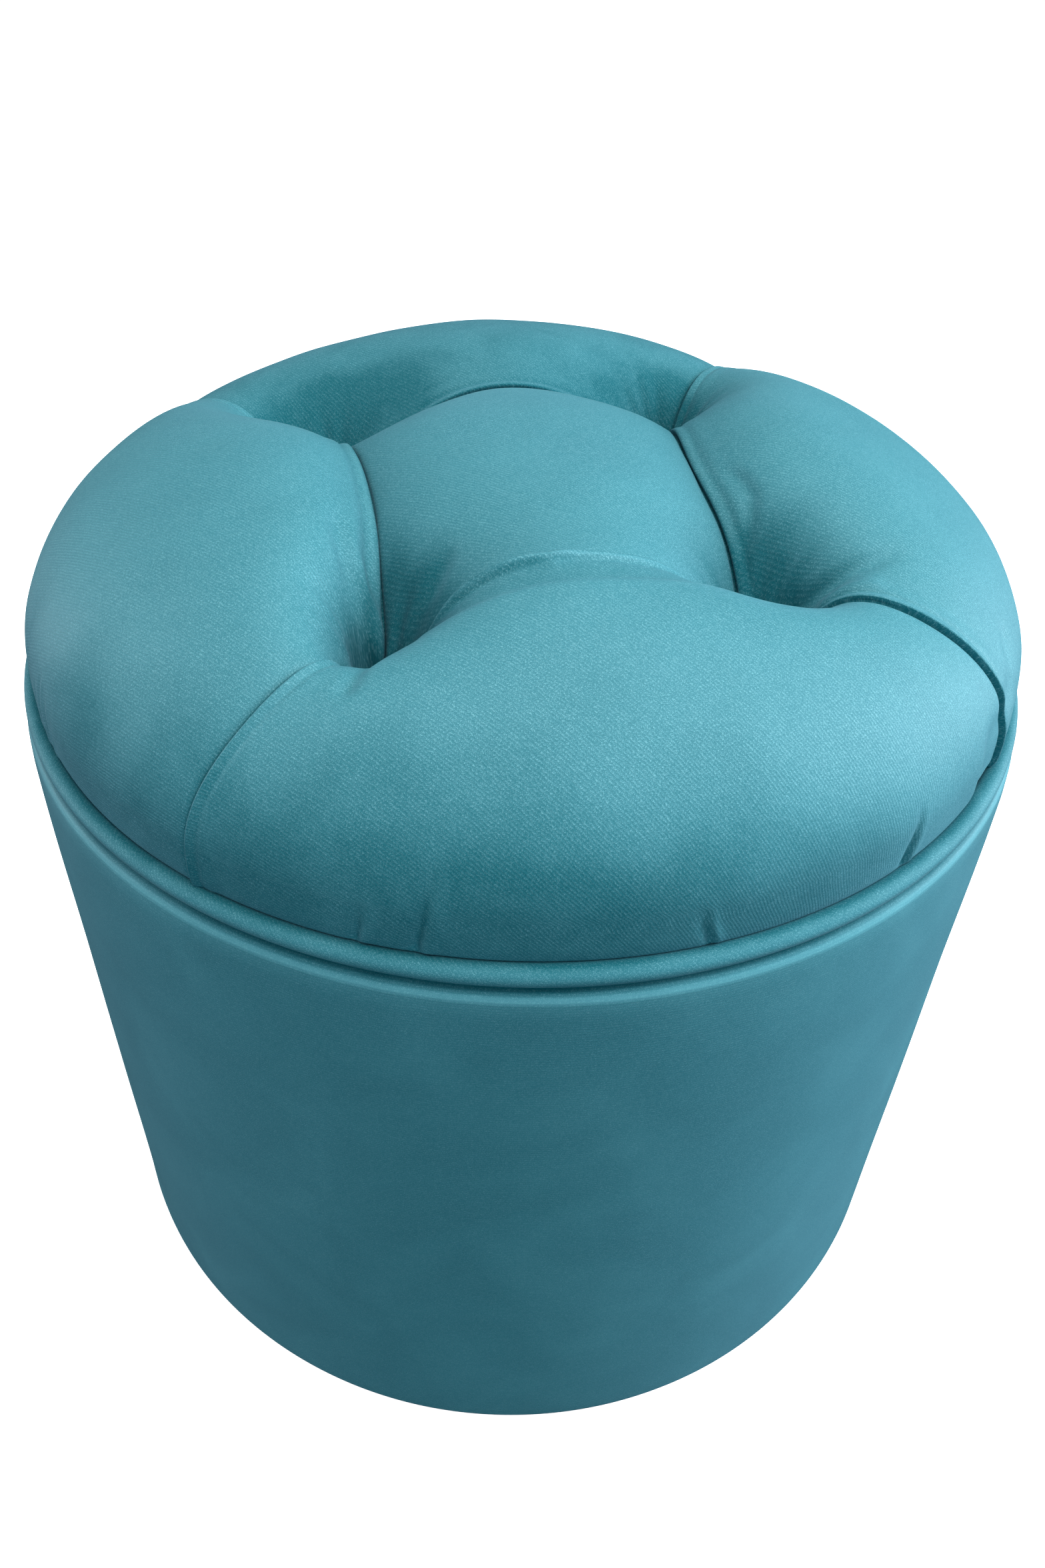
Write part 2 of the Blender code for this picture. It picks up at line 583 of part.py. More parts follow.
def make_tufts():
    """At each tuft a covered button, its twine with a knot, and the disc that the knot bears on."""
    bottom = TUFT_BOTTOM + CLEARANCE
    button = [(0.0, bottom + BUTTON_HEIGHT)]
    for share, rise in ((0.5, 0.93), (0.85, 0.64), (1.0, 0.25), (0.94, 0.0)):
        button.append((BUTTON_RADIUS * share, bottom + BUTTON_HEIGHT * rise))
    button.append((0.0, bottom))
    knot = DISC_BOTTOM - CLEARANCE
    twine = [(0.0, TUFT_BOTTOM), (TWINE_RADIUS, TUFT_BOTTOM), (TWINE_RADIUS, knot),
             (KNOT_RADIUS, knot - KNOT_HEIGHT * 0.3), (KNOT_RADIUS, knot - KNOT_HEIGHT * 0.7),
             (TWINE_RADIUS, knot - KNOT_HEIGHT),
             (TWINE_RADIUS, knot - KNOT_HEIGHT - TWINE_TAIL),
             (0.0, knot - KNOT_HEIGHT - TWINE_TAIL)]
    disc = plate_profile(DISC_RADIUS, DISC_BOTTOM, DISC_TOP, TWINE_RADIUS + CLEARANCE)
    for number, tuft in enumerate(tuft_points(), 1):
        spot = (*tuft, 0.0)
        turned(f"tuft_button_{number}", button, VELVET, SMALL_STEPS, False, location=spot)
        turned(f"tuft_twine_{number}", twine, TWINE, SCREW_STEPS, False, location=spot)
        turned(f"tuft_disc_{number}", disc, PLASTIC, SMALL_STEPS, location=spot)


def main():
    """Clears the scene and builds the pouf from the floor up."""
    for old in list(bpy.data.objects):
        bpy.data.objects.remove(old)
    make_frame_screws()
    make_twine_holes()
    make_glides()
    make_dust_cover()
    make_frame()
    make_side_wrap()
    make_side_foam()
    make_side_band()
    make_piping()
    make_seat()
    make_tufts()


main()
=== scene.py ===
"""The looks of a round tufted pouf in teal velvet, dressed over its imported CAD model.

The sections follow the pouf as it is put together: frame, side, piping, seat, and what closes it
below. Metres, +Z up, the origin on the floor under the middle of the drum; the viewer is at -Y.
"""

import math

import bpy
import numpy as np
from mathutils import Matrix, Vector, noise


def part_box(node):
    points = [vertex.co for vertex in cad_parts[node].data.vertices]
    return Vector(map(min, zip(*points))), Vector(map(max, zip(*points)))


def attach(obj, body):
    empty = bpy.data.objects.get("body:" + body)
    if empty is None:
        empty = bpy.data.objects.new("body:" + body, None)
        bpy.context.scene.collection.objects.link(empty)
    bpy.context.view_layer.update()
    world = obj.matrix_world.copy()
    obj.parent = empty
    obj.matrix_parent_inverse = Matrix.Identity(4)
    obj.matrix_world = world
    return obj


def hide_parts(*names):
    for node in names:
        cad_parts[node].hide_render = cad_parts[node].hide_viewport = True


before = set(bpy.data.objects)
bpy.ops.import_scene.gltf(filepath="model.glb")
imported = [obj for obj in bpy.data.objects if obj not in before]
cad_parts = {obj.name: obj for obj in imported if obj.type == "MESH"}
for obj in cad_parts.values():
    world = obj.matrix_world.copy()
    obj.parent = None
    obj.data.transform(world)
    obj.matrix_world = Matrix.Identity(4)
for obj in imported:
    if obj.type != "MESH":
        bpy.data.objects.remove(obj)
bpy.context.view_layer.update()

# The view and the light

# The camera stands in front of the pouf and looks down on it, tilted a little, as a person
# would hold it. The place, turn and lens were fitted to the drum's outline.
eye = Vector((0.0, -0.4454, 0.5960))
yaw, pitch, roll = 0.0041, math.radians(40.63), math.radians(2.15)
ahead = Vector((math.sin(yaw) * math.cos(pitch), math.cos(yaw) * math.cos(pitch), -math.sin(pitch)))
level = Vector((math.cos(yaw), -math.sin(yaw), 0.0))
upright = level.cross(ahead)
to_right = math.cos(roll) * level + math.sin(roll) * upright
to_top = -math.sin(roll) * level + math.cos(roll) * upright
camera = bpy.data.objects.new("camera", bpy.data.cameras.new("camera"))
camera.matrix_world = Matrix((
    (to_right.x, to_top.x, -ahead.x, eye.x), (to_right.y, to_top.y, -ahead.y, eye.y),
    (to_right.z, to_top.z, -ahead.z, eye.z), (0, 0, 0, 1)))
camera.data.sensor_width = 36.0
camera.data.lens = 28.9
camera.data.clip_start, camera.data.clip_end = 0.01, 50.0
bpy.context.scene.collection.objects.link(camera)
bpy.context.scene.camera = camera
bpy.context.scene.view_settings.view_transform = "Standard"


def linear(colour):
    """The linear RGBA of an sRGB hex colour."""
    parts = [int(colour[i:i + 2], 16) / 255 for i in (1, 3, 5)]
    return [p / 12.92 if p <= 0.04045 else ((p + 0.055) / 1.055) ** 2.4 for p in parts] + [1.0]


def add(material, kind, links=None, inputs=None, stops=None, **settings):
    """Adds a node of a kind to a material, with its settings, socket values and what feeds it."""
    tree = material.node_tree
    node = tree.nodes.new("ShaderNode" + kind)
    for name, value in settings.items():
        setattr(node, name, value)
    for socket, value in (inputs or {}).items():
        node.inputs[socket].default_value = value
    if stops:
        ramp = node.color_ramp
        while len(ramp.elements) < len(stops):
            ramp.elements.new(0.5)
        for element, (place, colour) in zip(ramp.elements, stops):
            element.position = place
            element.color = linear(colour)
    for socket, source in (links or {}).items():
        tree.links.new(source, node.inputs[socket])
    return node


def new_material(name):
    """An empty node material and its shader, which feeds the output."""
    made = bpy.data.materials.new(name)
    made.use_nodes = True
    made.node_tree.nodes.clear()
    shader = add(made, "BsdfPrincipled")
    add(made, "OutputMaterial", {"Surface": shader.outputs[0]})
    return made, shader


def grid_piece(name, points, finish, cloth=None, wrap=True, close_end=False):
    """A smooth mesh over rows of points; wrap joins each row's last point to its first.

    cloth gives each point's place on the flat cloth, in metres, with a last column to end on.
    """
    rows, columns = points.shape[:2]
    across = columns if wrap else columns - 1
    i, j = np.meshgrid(np.arange(rows - 1), np.arange(across), indexing="ij")
    k = (j + 1) % columns
    faces = np.stack((i * columns + j, i * columns + k, (i + 1) * columns + k,
                      (i + 1) * columns + j), -1).reshape(-1, 4).tolist()
    vertices = points.reshape(-1, 3)
    if close_end:
        last = (rows - 1) * columns
        vertices = np.vstack((vertices, points[-1].mean(axis=0)))
        hub = len(vertices) - 1
        faces += [(last + n, last + (n + 1) % columns, hub) for n in range(columns)]
    mesh = bpy.data.meshes.new(name)
    mesh.from_pydata(vertices.tolist(), [], faces)
    mesh.shade_smooth()
    if cloth is not None:
        corners = np.stack((cloth[i, j], cloth[i, j + 1], cloth[i + 1, j + 1], cloth[i + 1, j]), 2)
        flat = np.zeros((len(mesh.loops), 2))
        flat[:corners.size // 2] = corners.reshape(-1, 2)
        mesh.uv_layers.new(name="cloth").data.foreach_set("uv", flat.ravel())
    piece = bpy.data.objects.new(name, mesh)
    bpy.context.scene.collection.objects.link(piece)
    mesh.materials.append(finish)
    return piece


# The floor is plain and pale, lit so evenly that it shows no shadow, and runs on far past the
# picture. It glows, and neither tints nor lights the pouf. It lies a hair below the glides.
paper, shader = new_material("matt_white_paper")
shader.inputs["Base Color"].default_value = linear("#F4F4F2")
shader.inputs["Roughness"].default_value = 0.9
shader.inputs["Emission Color"].default_value = (1.0, 1.0, 1.0, 1.0)
shader.inputs["Emission Strength"].default_value = 0.9
floor_reach = 12.0
sides = (-floor_reach, floor_reach)
floor = grid_piece("floor", np.array([[(x, y, 0.0) for x in sides] for y in sides]), paper,
                   wrap=False)
floor.location.z = -0.0005
floor.visible_diffuse = False
floor.visible_glossy = False

# The room itself is nearly dark, so that the lamps alone show the folds.
room = bpy.data.worlds.new("dim_room")
room.use_nodes = True
room.node_tree.nodes["Background"].inputs["Color"].default_value = (1.0, 1.0, 1.0, 1.0)
room.node_tree.nodes["Background"].inputs["Strength"].default_value = 0.03
bpy.context.scene.world = room

# Studio light through soft boxes: the strongest from the right, cooler at the sides than above,
# and one low in front that fills the shade of the band and leaves no gloss on it.
middle_height = 0.28


def soft_lamp(name, place, width, height, power, colour):
    """A rectangular lamp that faces the middle of the pouf."""
    lamp = bpy.data.objects.new(name, bpy.data.lights.new(name, "AREA"))
    lamp.data.shape = "RECTANGLE"
    lamp.data.size, lamp.data.size_y = width, height
    lamp.data.energy = power
    lamp.data.color = linear(colour)[:3]
    lamp.location = place
    aim = Vector((0, 0, middle_height)) - Vector(place)
    lamp.rotation_euler = aim.to_track_quat("-Z", "Y").to_euler()
    bpy.context.scene.collection.objects.link(lamp)
    return lamp


soft_lamp("ceiling_lamp", (0.1, -0.2, 2.2), 1.2, 1.2, 33, "#FFFCF6")
soft_lamp("front_lamp", (0.1, -1.2, 1.9), 1.6, 1.2, 8, "#F0F8FF")
soft_lamp("right_lamp", (2.0, 0.3, 0.8), 1.0, 1.4, 52, "#E8F6FF")
soft_lamp("left_lamp", (-2.0, 0.3, 0.8), 1.0, 1.4, 28, "#F4FAFF")
soft_lamp("high_right_lamp", (1.5, -0.1, 1.7), 1.0, 1.2, 32, "#FAFDFF")
low_front_lamp = soft_lamp("low_front_lamp", (0.2, -2.2, 0.35), 1.6, 0.6, 22, "#E6F5FF")
low_front_lamp.visible_glossy = False

# Timber frame

# A seat board and a base ring of birch plywood, sawn round and sanded, stand on six sawn pine
# battens. Countersunk zinc-plated screws go through both boards into the battens' ends.


def dress(finish, *names):
    """Gives CAD nodes their material, by their names or, where they are numbered, their stem."""
    for name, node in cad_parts.items():
        if name in names or name.rstrip("0123456789").rstrip("_") in names:
            for slot in node.material_slots:
                slot.material = finish


def feed(material, shader, **sources):
    """Links node outputs to the shader's sockets: colour, roughness and normal."""
    sockets = {"colour": "Base Color", "roughness": "Roughness", "normal": "Normal"}
    for name, source in sources.items():
        material.node_tree.links.new(source, shader.inputs[sockets[name]])


# Rotary-cut birch: a long pale figure on the faces, plies light and dark in turn on sawn edges.
ply_pitch = 0.003
figure_length, figure_width = 0.0167, 0.0011
plywood, shader = new_material("sanded_birch_plywood")
place = add(plywood, "TexCoord").outputs["Object"]
along_grain = add(plywood, "Mapping", {"Vector": place},
                  {"Scale": (1 / figure_length, 1 / figure_width, 1 / figure_length)})
figure = add(plywood, "TexNoise", {"Vector": along_grain.outputs[0]}, {"Scale": 1, "Detail": 4})
face = add(plywood, "ValToRGB", {0: figure.outputs[0]},
           stops=((0.3, "#C9A77C"), (0.6, "#DCC19A")))
height = add(plywood, "SeparateXYZ", {0: place}).outputs["Z"]
turn = add(plywood, "Math", {0: height}, {1: 2 * math.pi / ply_pitch}, operation="MULTIPLY")
ply = add(plywood, "Math", {0: turn.outputs[0]}, operation="SINE")
edge = add(plywood, "ValToRGB", {0: ply.outputs[0]}, stops=((0.3, "#B48B5E"), (0.6, "#D6B78D")))
facing = add(plywood, "SeparateXYZ", {0: add(plywood, "NewGeometry").outputs["Normal"]})
level_face = add(plywood, "Math", {0: facing.outputs["Z"]}, operation="ABSOLUTE")
wood = add(plywood, "Mix", {0: level_face.outputs[0], 6: edge.outputs[0], 7: face.outputs[0]},
           data_type="RGBA")
pores = add(plywood, "Bump", {"Height": figure.outputs[0]}, {"Distance": 0.0002})
feed(plywood, shader, colour=wood.outputs[2], normal=pores.outputs[0])
shader.inputs["Roughness"].default_value = 0.7
dress(plywood, "seat_board", "base_ring")

# Pine as the saw left it: resinous late-wood lines 2 mm apart along the batten, a furry surface.
ring_pitch = 0.002
ring_waver, waver_length = 0.012, 0.011
fibre = 0.0008
pine, shader = new_material("sawn_pine")
place = add(pine, "TexCoord").outputs["Object"]
along_grain = add(pine, "Mapping", {"Vector": place}, {"Scale": (1, 1, 0.06)})
waver = add(pine, "TexNoise", {"Vector": along_grain.outputs[0]},
            {"Scale": 1 / waver_length, "Detail": 2})
across = add(pine, "SeparateXYZ", {0: along_grain.outputs[0]}).outputs["X"]
bent = add(pine, "Math", {0: waver.outputs[0], 2: across}, {1: ring_waver},
           operation="MULTIPLY_ADD")
turn = add(pine, "Math", {0: bent.outputs[0]}, {1: 2 * math.pi / ring_pitch}, operation="MULTIPLY")
late_wood = add(pine, "Math", {0: turn.outputs[0]}, operation="SINE")
colour = add(pine, "ValToRGB", {0: late_wood.outputs[0]},
             stops=((0.4, "#E0C08E"), (0.9, "#C08F55")))
fur = add(pine, "TexNoise", {"Vector": place}, {"Scale": 1 / fibre, "Detail": 3})
rough_sawn = add(pine, "Bump", {"Height": fur.outputs[0]}, {"Distance": 0.0003})
feed(pine, shader, colour=colour.outputs[0], normal=rough_sawn.outputs[0])
shader.inputs["Roughness"].default_value = 0.8
dress(pine, "batten")

# Zinc-plated steel: bright grey with a faint blue, drawn smooth, with a fine matt mottle.
zinc_grain = 0.0004
zinc, shader = new_material("zinc_plated_steel")
place = add(zinc, "TexCoord").outputs["Object"]
mottle = add(zinc, "TexNoise", {"Vector": place}, {"Scale": 1 / zinc_grain, "Detail": 3})
colour = add(zinc, "ValToRGB", {0: mottle.outputs[0]}, stops=((0.3, "#B9BEC2"), (0.7, "#D3D6D8")))
gloss = add(zinc, "MapRange", {0: mottle.outputs[0]}, {"To Min": 0.28, "To Max": 0.45})
feed(zinc, shader, colour=colour.outputs[0], roughness=gloss.outputs[0])
shader.inputs["Metallic"].default_value = 1.0
dress(zinc, "base_screw", "seat_screw", "glide_screw")

# Hardboard wrap

# One sheet of 3 mm hardboard, bent round the frame with its ends meeting at the back. Pressed
# wood fibre: brown, smooth and a little glossy, with short fibres showing in it.
fibre = 0.0014
hardboard, shader = new_material("pressed_hardboard")
place = add(hardboard, "TexCoord").outputs["Object"]
fibres = add(hardboard, "TexNoise", {"Vector": place},
             {"Scale": 1 / fibre, "Detail": 5, "Distortion": 2})
colour = add(hardboard, "ValToRGB", {0: fibres.outputs[0]},
             stops=((0.35, "#5E4029"), (0.65, "#86603F")))
felted = add(hardboard, "Bump", {"Height": fibres.outputs[0]}, {"Distance": 0.0001})
feed(hardboard, shader, colour=colour.outputs[0], normal=felted.outputs[0])
shader.inputs["Roughness"].default_value = 0.55
dress(hardboard, "side_wrap")

# Velvet band

# One strip of velvet over a thin foam sheet, sewn to a ring at the back, pulled over the drum and
# stapled under it. It lies taut, with its nap brushed flat and marked here and there.
rib_pitch = 0.0012
rib_waver, rib_waver_length = 0.0012, 0.0111
pile_tuft = 0.00021  # drawn coarser than it is, so that it shows in the picture


def velvet(name, rib_depth, pile_depth, sparkle, marks, mark_size):
    """Cut-pile polyester velvet on a ribbed ground: blue-green, with painted shade and painted
    highlights read from a point attribute. Fine ribs, painted glints on single tufts and marks
    where it was stroked show in it.

    The depths of ribs and pile are in mm, the size of the marks in metres, and the rest are
    shares: how bright the painted glints on single tufts are, and how strongly the marks show.
    """
    made, shader = new_material(name)
    place = add(made, "UVMap", uv_map="cloth").outputs[0]
    waver = add(made, "TexNoise", {"Vector": place}, {"Scale": 1 / rib_waver_length, "Detail": 1})
    across = add(made, "SeparateXYZ", {0: place}).outputs["Y"]
    bent = add(made, "Math", {0: waver.outputs[0], 2: across}, {1: rib_waver},
               operation="MULTIPLY_ADD")
    turn = add(made, "Math", {0: bent.outputs[0]}, {1: 2 * math.pi / rib_pitch},
               operation="MULTIPLY")
    rib = add(made, "Math", {0: turn.outputs[0]}, operation="SINE")
    tufts = add(made, "TexNoise", {"Vector": place}, {"Scale": 1 / pile_tuft, "Detail": 2})
    # The shade varies from tuft to tuft, and in wide soft marks where the nap was stroked.
    strokes = add(made, "TexNoise", {"Vector": place},
                  {"Scale": 1 / mark_size, "Detail": 3, "Roughness": 0.55, "Distortion": 0.6})
    stroked = add(made, "Math", {0: strokes.outputs[0]}, {1: marks, 2: 0.5 - marks / 2},
                  operation="MULTIPLY_ADD")
    tufted = add(made, "Math", {0: tufts.outputs[0]}, {1: 0.6, 2: -0.3}, operation="MULTIPLY_ADD")
    shade = add(made, "Math", {0: stroked.outputs[0], 1: tufted.outputs[0]}, operation="ADD")
    colour = add(made, "ValToRGB", {0: shade.outputs[0]},
                 stops=((0.0, "#1A5560"), (0.5, "#307480"), (1.0, "#5A9FAB")))
    # Painted shade: where the attribute is above 0 the colour is darkened to a deep teal and the
    # roughness raised, a little unevenly.
    shade_and_highlight_paint = add(made, "Attribute", attribute_name="shade_and_highlight_paint").outputs["Fac"]
    broken = add(made, "MapRange", {0: strokes.outputs[0]},
                 {"From Min": 0.35, "From Max": 0.6, "To Min": 1.3, "To Max": 0.9})
    painted_shade = add(made, "Math", {0: shade_and_highlight_paint, 1: broken.outputs[0]}, operation="MULTIPLY",
                  use_clamp=True)
    mixed = add(made, "Mix", {0: painted_shade.outputs[0], 6: colour.outputs[0]},
                {7: linear("#065762")}, data_type="RGBA")
    dulled = add(made, "MapRange", {0: painted_shade.outputs[0]}, {"To Min": 0.55, "To Max": 0.95})
    # Painted highlight: where the attribute is below 0, on edges, the colour is lightened.
    painted_highlight = add(made, "MapRange", {0: shade_and_highlight_paint},
                 {"From Min": 0, "From Max": -1, "To Min": 0, "To Max": 1})
    lighter = add(made, "Mix", {0: painted_highlight.outputs[0], 6: mixed.outputs[2]},
                  {7: linear("#6DB2BF")}, data_type="RGBA")
    # Painted glints: the colour is lightened towards a pale blue at the tips of single tufts, most
    # of all along the ribs, and less in the painted shade.
    tips = add(made, "TexVoronoi", {"Vector": place}, {"Scale": 1 / pile_tuft})
    caught = add(made, "MapRange", {0: tips.outputs["Color"]},
                 {"From Min": 0.5, "From Max": 0.85, "To Max": sparkle})
    ridge = add(made, "MapRange", {0: rib.outputs[0]},
                {"From Min": -1, "From Max": 1, "To Min": 0.45, "To Max": 1.0})
    glint = add(made, "Math", {0: caught.outputs[0], 1: ridge.outputs[0]}, operation="MULTIPLY")
    hidden = add(made, "MapRange", {0: painted_shade.outputs[0]}, {"To Min": 1.0, "To Max": 0.45})
    seen = add(made, "Math", {0: glint.outputs[0], 1: hidden.outputs[0]}, operation="MULTIPLY")
    glinting = add(made, "Mix", {0: seen.outputs[0], 6: lighter.outputs[2]},
                   {7: linear("#92CFDB")}, data_type="RGBA")
    ribbed = add(made, "Math", {0: rib.outputs[0]}, {1: rib_depth / 2}, operation="MULTIPLY")
    relief = add(made, "Math", {0: tufts.outputs[0], 2: ribbed.outputs[0]}, {1: pile_depth},
                 operation="MULTIPLY_ADD")
    millimetre = 0.001
    bump = add(made, "Bump", {"Height": relief.outputs[0]}, {"Distance": millimetre})
    feed(made, shader, colour=glinting.outputs[2], roughness=dulled.outputs[0],
         normal=bump.outputs[0])
    shader.inputs["IOR"].default_value = 1.45
    shader.inputs["Specular IOR Level"].default_value = 0.36
    shader.inputs["Specular Tint"].default_value = linear("#E2F6FF")
    shader.inputs["Sheen Weight"].default_value = 0.06
    shader.inputs["Sheen Roughness"].default_value = 0.5
    shader.inputs["Sheen Tint"].default_value = linear("#CFD4FF")
    return made


def paint_shade_and_highlight(piece, shares):
    """Stores how much painted shade each point gets, up to 1, or painted highlight on an edge, down
    to -1.
    """
    layer = piece.data.attributes.new("shade_and_highlight_paint", "FLOAT", "POINT")
    values = np.zeros(len(piece.data.vertices))
    values[:shares.size] = np.clip(shares.ravel(), -1, 1)
    layer.data.foreach_set("value", values)


def crowded(steps, places, widths, weights):
    """Shares from 0 to 1 in even steps that crowd round some places."""
    fine = np.linspace(0, 1, 8001)
    density = np.ones(len(fine))
    for place, width, weight in zip(places, widths, weights):
        density += weight * np.exp(-np.abs(fine - place) / width)
    passed = np.concatenate(([0], np.cumsum((density[1:] + density[:-1]) / 2)))
    return np.interp(np.linspace(0, 1, steps + 1), passed / passed[-1], fine)


def bend(middle, radius, start, end, steps):
    """Points (radius, height) along an arc, between angles in degrees from straight outwards."""
    return [(middle[0] + radius * math.cos(math.radians(a)),
             middle[1] + radius * math.sin(math.radians(a))) for a in np.linspace(start, end, steps)]


def turned(profile, turn):
    """Rows of points: a profile (radius, height) turned about the axis, and its cloth's places."""
    profile = np.array(profile)
    radius, height = profile[:, :1], profile[:, 1:]
    points = np.stack((radius * np.cos(turn), radius * np.sin(turn),
                       np.repeat(height, len(turn), 1)), -1)
    along = np.append(turn, turn[0] + 2 * math.pi) * drum_radius
    down = np.concatenate(([0], np.cumsum(np.hypot(*np.diff(profile, axis=0).T))))
    cloth = np.stack(np.meshgrid(along, -down), -1)
    return points, cloth


def bell(x):
    """1 at 0, and less to either side, almost nothing beyond 2."""
    return np.exp(-x**2)


# Radii and heights of its profile, from the seam down
drum_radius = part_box("side_band")[1].x
seam_low, seam_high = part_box("piping_sleeve")
seam_height = (seam_low.z + seam_high.z) / 2
piping_middle, piping_radius = 0.1953, 0.004
flange_radius, flange_gap = 0.187, 0.0016
edge_radius = 0.005
top_edge_height, wall_top, wall_bottom = 0.2965, 0.29, 0.018
turn_in_height, turn_in_start, turn_in_end = 0.0064, 0.193, 0.158
back = math.pi / 2
ironed_velvet = velvet("ironed_teal_velvet", 0.02, 0.06, 0.24, 0.34, 0.05)
edge_middle = drum_radius - edge_radius
profile = [(flange_radius, seam_height - flange_gap)]
profile += bend((piping_middle, seam_height), piping_radius + 0.0001, 200, 285, 8)
profile += bend((edge_middle, top_edge_height), edge_radius, 75, 0, 9)
profile += [(drum_radius, z) for z in np.linspace(wall_top, wall_bottom, 90)]
profile += bend((edge_middle, turn_in_height + edge_radius), edge_radius, 0, -90, 10)
profile += [(r, turn_in_height) for r in np.linspace(turn_in_start, turn_in_end, 18)]
turn = back + 2 * math.pi * crowded(480, (0, 1), (0.004, 0.004), (30, 30))[:-1]
points, cloth = turned(profile, turn)

# The wall bows out a little below the piping, and fades into its edges. The cloth dips at its
# own seam, is puckered and banked up beside it, lies a little slack elsewhere, and is gathered
# where it turns under the drum.
arc = (turn - back + math.pi) % (2 * math.pi) * drum_radius - math.pi * drum_radius
height = points[..., 2]
wall = np.clip((height - 0.006) / 0.02, 0, 1) * np.clip((0.302 - height) / 0.01, 0, 1)
bow_out = 0.0008 * bell((height - 0.27) / 0.05)
dip, dip_width = 0.0011, 0.0011
bank, bank_place, bank_width = 0.0003, 0.004, 0.002
sewn = bank * bell((np.abs(arc) - bank_place) / bank_width) - dip * bell(arc / dip_width)
pucker_pitch = 0.013
pucker = 0.00022 * np.sin(2 * math.pi * height / pucker_pitch) * bell(arc / 0.006)
slack_depth, gather_depth = 0.0006, 0.0006
slack = slack_depth * np.array([[noise.noise(Vector((x * 14, y * 14, z * 9))) for x, y, z in row]
                                for row in points])
swell = 1 + wall * (bow_out + sewn + pucker + slack) / drum_radius
points[..., :2] *= swell[..., None]
turned_in = np.hypot(points[..., 0], points[..., 1])
under = np.clip((0.194 - turned_in) / 0.006, 0, 1) * (height < wall_bottom)
points[..., 2] += under * gather_depth * np.abs(np.sin(turn * 41 + 2 * np.sin(turn * 7)))
band = grid_piece("velvet_band", points, ironed_velvet, cloth)
# Painted shade darkens the crease under the piping, and a painted highlight lightens the edge just
# below it.
crease_height, highlight_height = 0.2994, 0.2984
paint_shade_and_highlight(band, np.clip((height - crease_height) / 0.002, 0, 1)
     - 0.35 * bell((height - highlight_height) / 0.0016))
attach(band, "root")
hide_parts("side_band", "side_foam")

# Piping

# Velvet cut on the bias and folded round a cotton cord, caught in the seam between the band and
# the seat. Its ends meet at the back.
bias_velvet = velvet("bias_cut_teal_velvet", 0.01, 0.06, 0.34, 0.15, 0.03)
profile = [(flange_radius, seam_height + flange_gap / 2)]
profile += bend((piping_middle, seam_height), piping_radius, 165, -165, 28)
profile.append((flange_radius, seam_height - flange_gap / 2))
turn = back + np.linspace(0, 2 * math.pi, 480, endpoint=False)
points, cloth = turned(profile, turn)
bias = np.array([[1, 1], [-1, 1]]) / math.sqrt(2)
piping = grid_piece("piping", points, bias_velvet, cloth @ bias)
# Painted shade on the piping: lightest a little above its middle, darker towards the seam on both
# sides. Both are angles from straight outwards, in radians.
lightest_way, shaded_within = 0.25, 1.3
way = np.arctan2(points[..., 2] - seam_height,
                 np.hypot(points[..., 0], points[..., 1]) - piping_middle)
paint_shade_and_highlight(piping, 0.9 * np.clip(np.abs(way - lightest_way) / shaded_within, 0, 1) ** 1.5 + 0.05)
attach(piping, "root")
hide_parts("piping_sleeve")

# Braided cotton cord: off-white, matt, its strands crossing at a slant.
strand = 0.0016
cotton, shader = new_material("braided_cotton_cord")
place = add(cotton, "TexCoord").outputs["Object"]
braid = add(cotton, "TexVoronoi", {"Vector": place}, {"Scale": 1 / strand})
colour = add(cotton, "ValToRGB", {0: braid.outputs["Distance"]},
             stops=((0.2, "#EFEBDF"), (0.8, "#C9C3B2")))
strands = add(cotton, "Bump", {"Height": braid.outputs["Distance"]}, {"Distance": 0.0004})
strands.invert = True
feed(cotton, shader, colour=colour.outputs[0], normal=strands.outputs[0])
shader.inputs["Roughness"].default_value = 0.9
dress(cotton, "piping_cord")

# Tufts

# Each tuft is a velvet-covered button in its pocket, waxed twine down through foam and board, and
# a moulded disc under the board that the twine is knotted round.

# A button's cover is a scrap of the same velvet stretched hard: darker, its ground showing through.
covered, shader = new_material("velvet_button_cover")
place = add(covered, "TexCoord").outputs["Object"]
tufts = add(covered, "TexNoise", {"Vector": place}, {"Scale": 1 / pile_tuft, "Detail": 2})
colour = add(covered, "ValToRGB", {0: tufts.outputs[0]},
             stops=((0.3, "#175F6D"), (0.7, "#2C7986")))
pile = add(covered, "Bump", {"Height": tufts.outputs[0]}, {"Distance": 0.0001})
feed(covered, shader, colour=colour.outputs[0], normal=pile.outputs[0])
shader.inputs["Roughness"].default_value = 0.65
shader.inputs["Sheen Weight"].default_value = 0.12
dress(covered, "tuft_button")

# Waxed linen twine: straw-coloured, with a twist every 1.5 mm and a dull shine from the wax.
twist = 0.0015
twine, shader = new_material("waxed_linen_twine")
place = add(twine, "TexCoord").outputs["Object"]
laid = add(twine, "Mapping", {"Vector": place}, {"Rotation": (0.6, 0.6, 0)})
height = add(twine, "SeparateXYZ", {0: laid.outputs[0]}).outputs["Z"]
turn_by = add(twine, "Math", {0: height}, {1: 2 * math.pi / twist}, operation="MULTIPLY")
ply = add(twine, "Math", {0: turn_by.outputs[0]}, operation="SINE")
colour = add(twine, "ValToRGB", {0: ply.outputs[0]}, stops=((0.2, "#A99468"), (0.8, "#D6C69B")))
plies = add(twine, "Bump", {"Height": ply.outputs[0]}, {"Distance": 0.0002})
feed(twine, shader, colour=colour.outputs[0], normal=plies.outputs[0])
shader.inputs["Roughness"].default_value = 0.5
dress(twine, "tuft_twine")

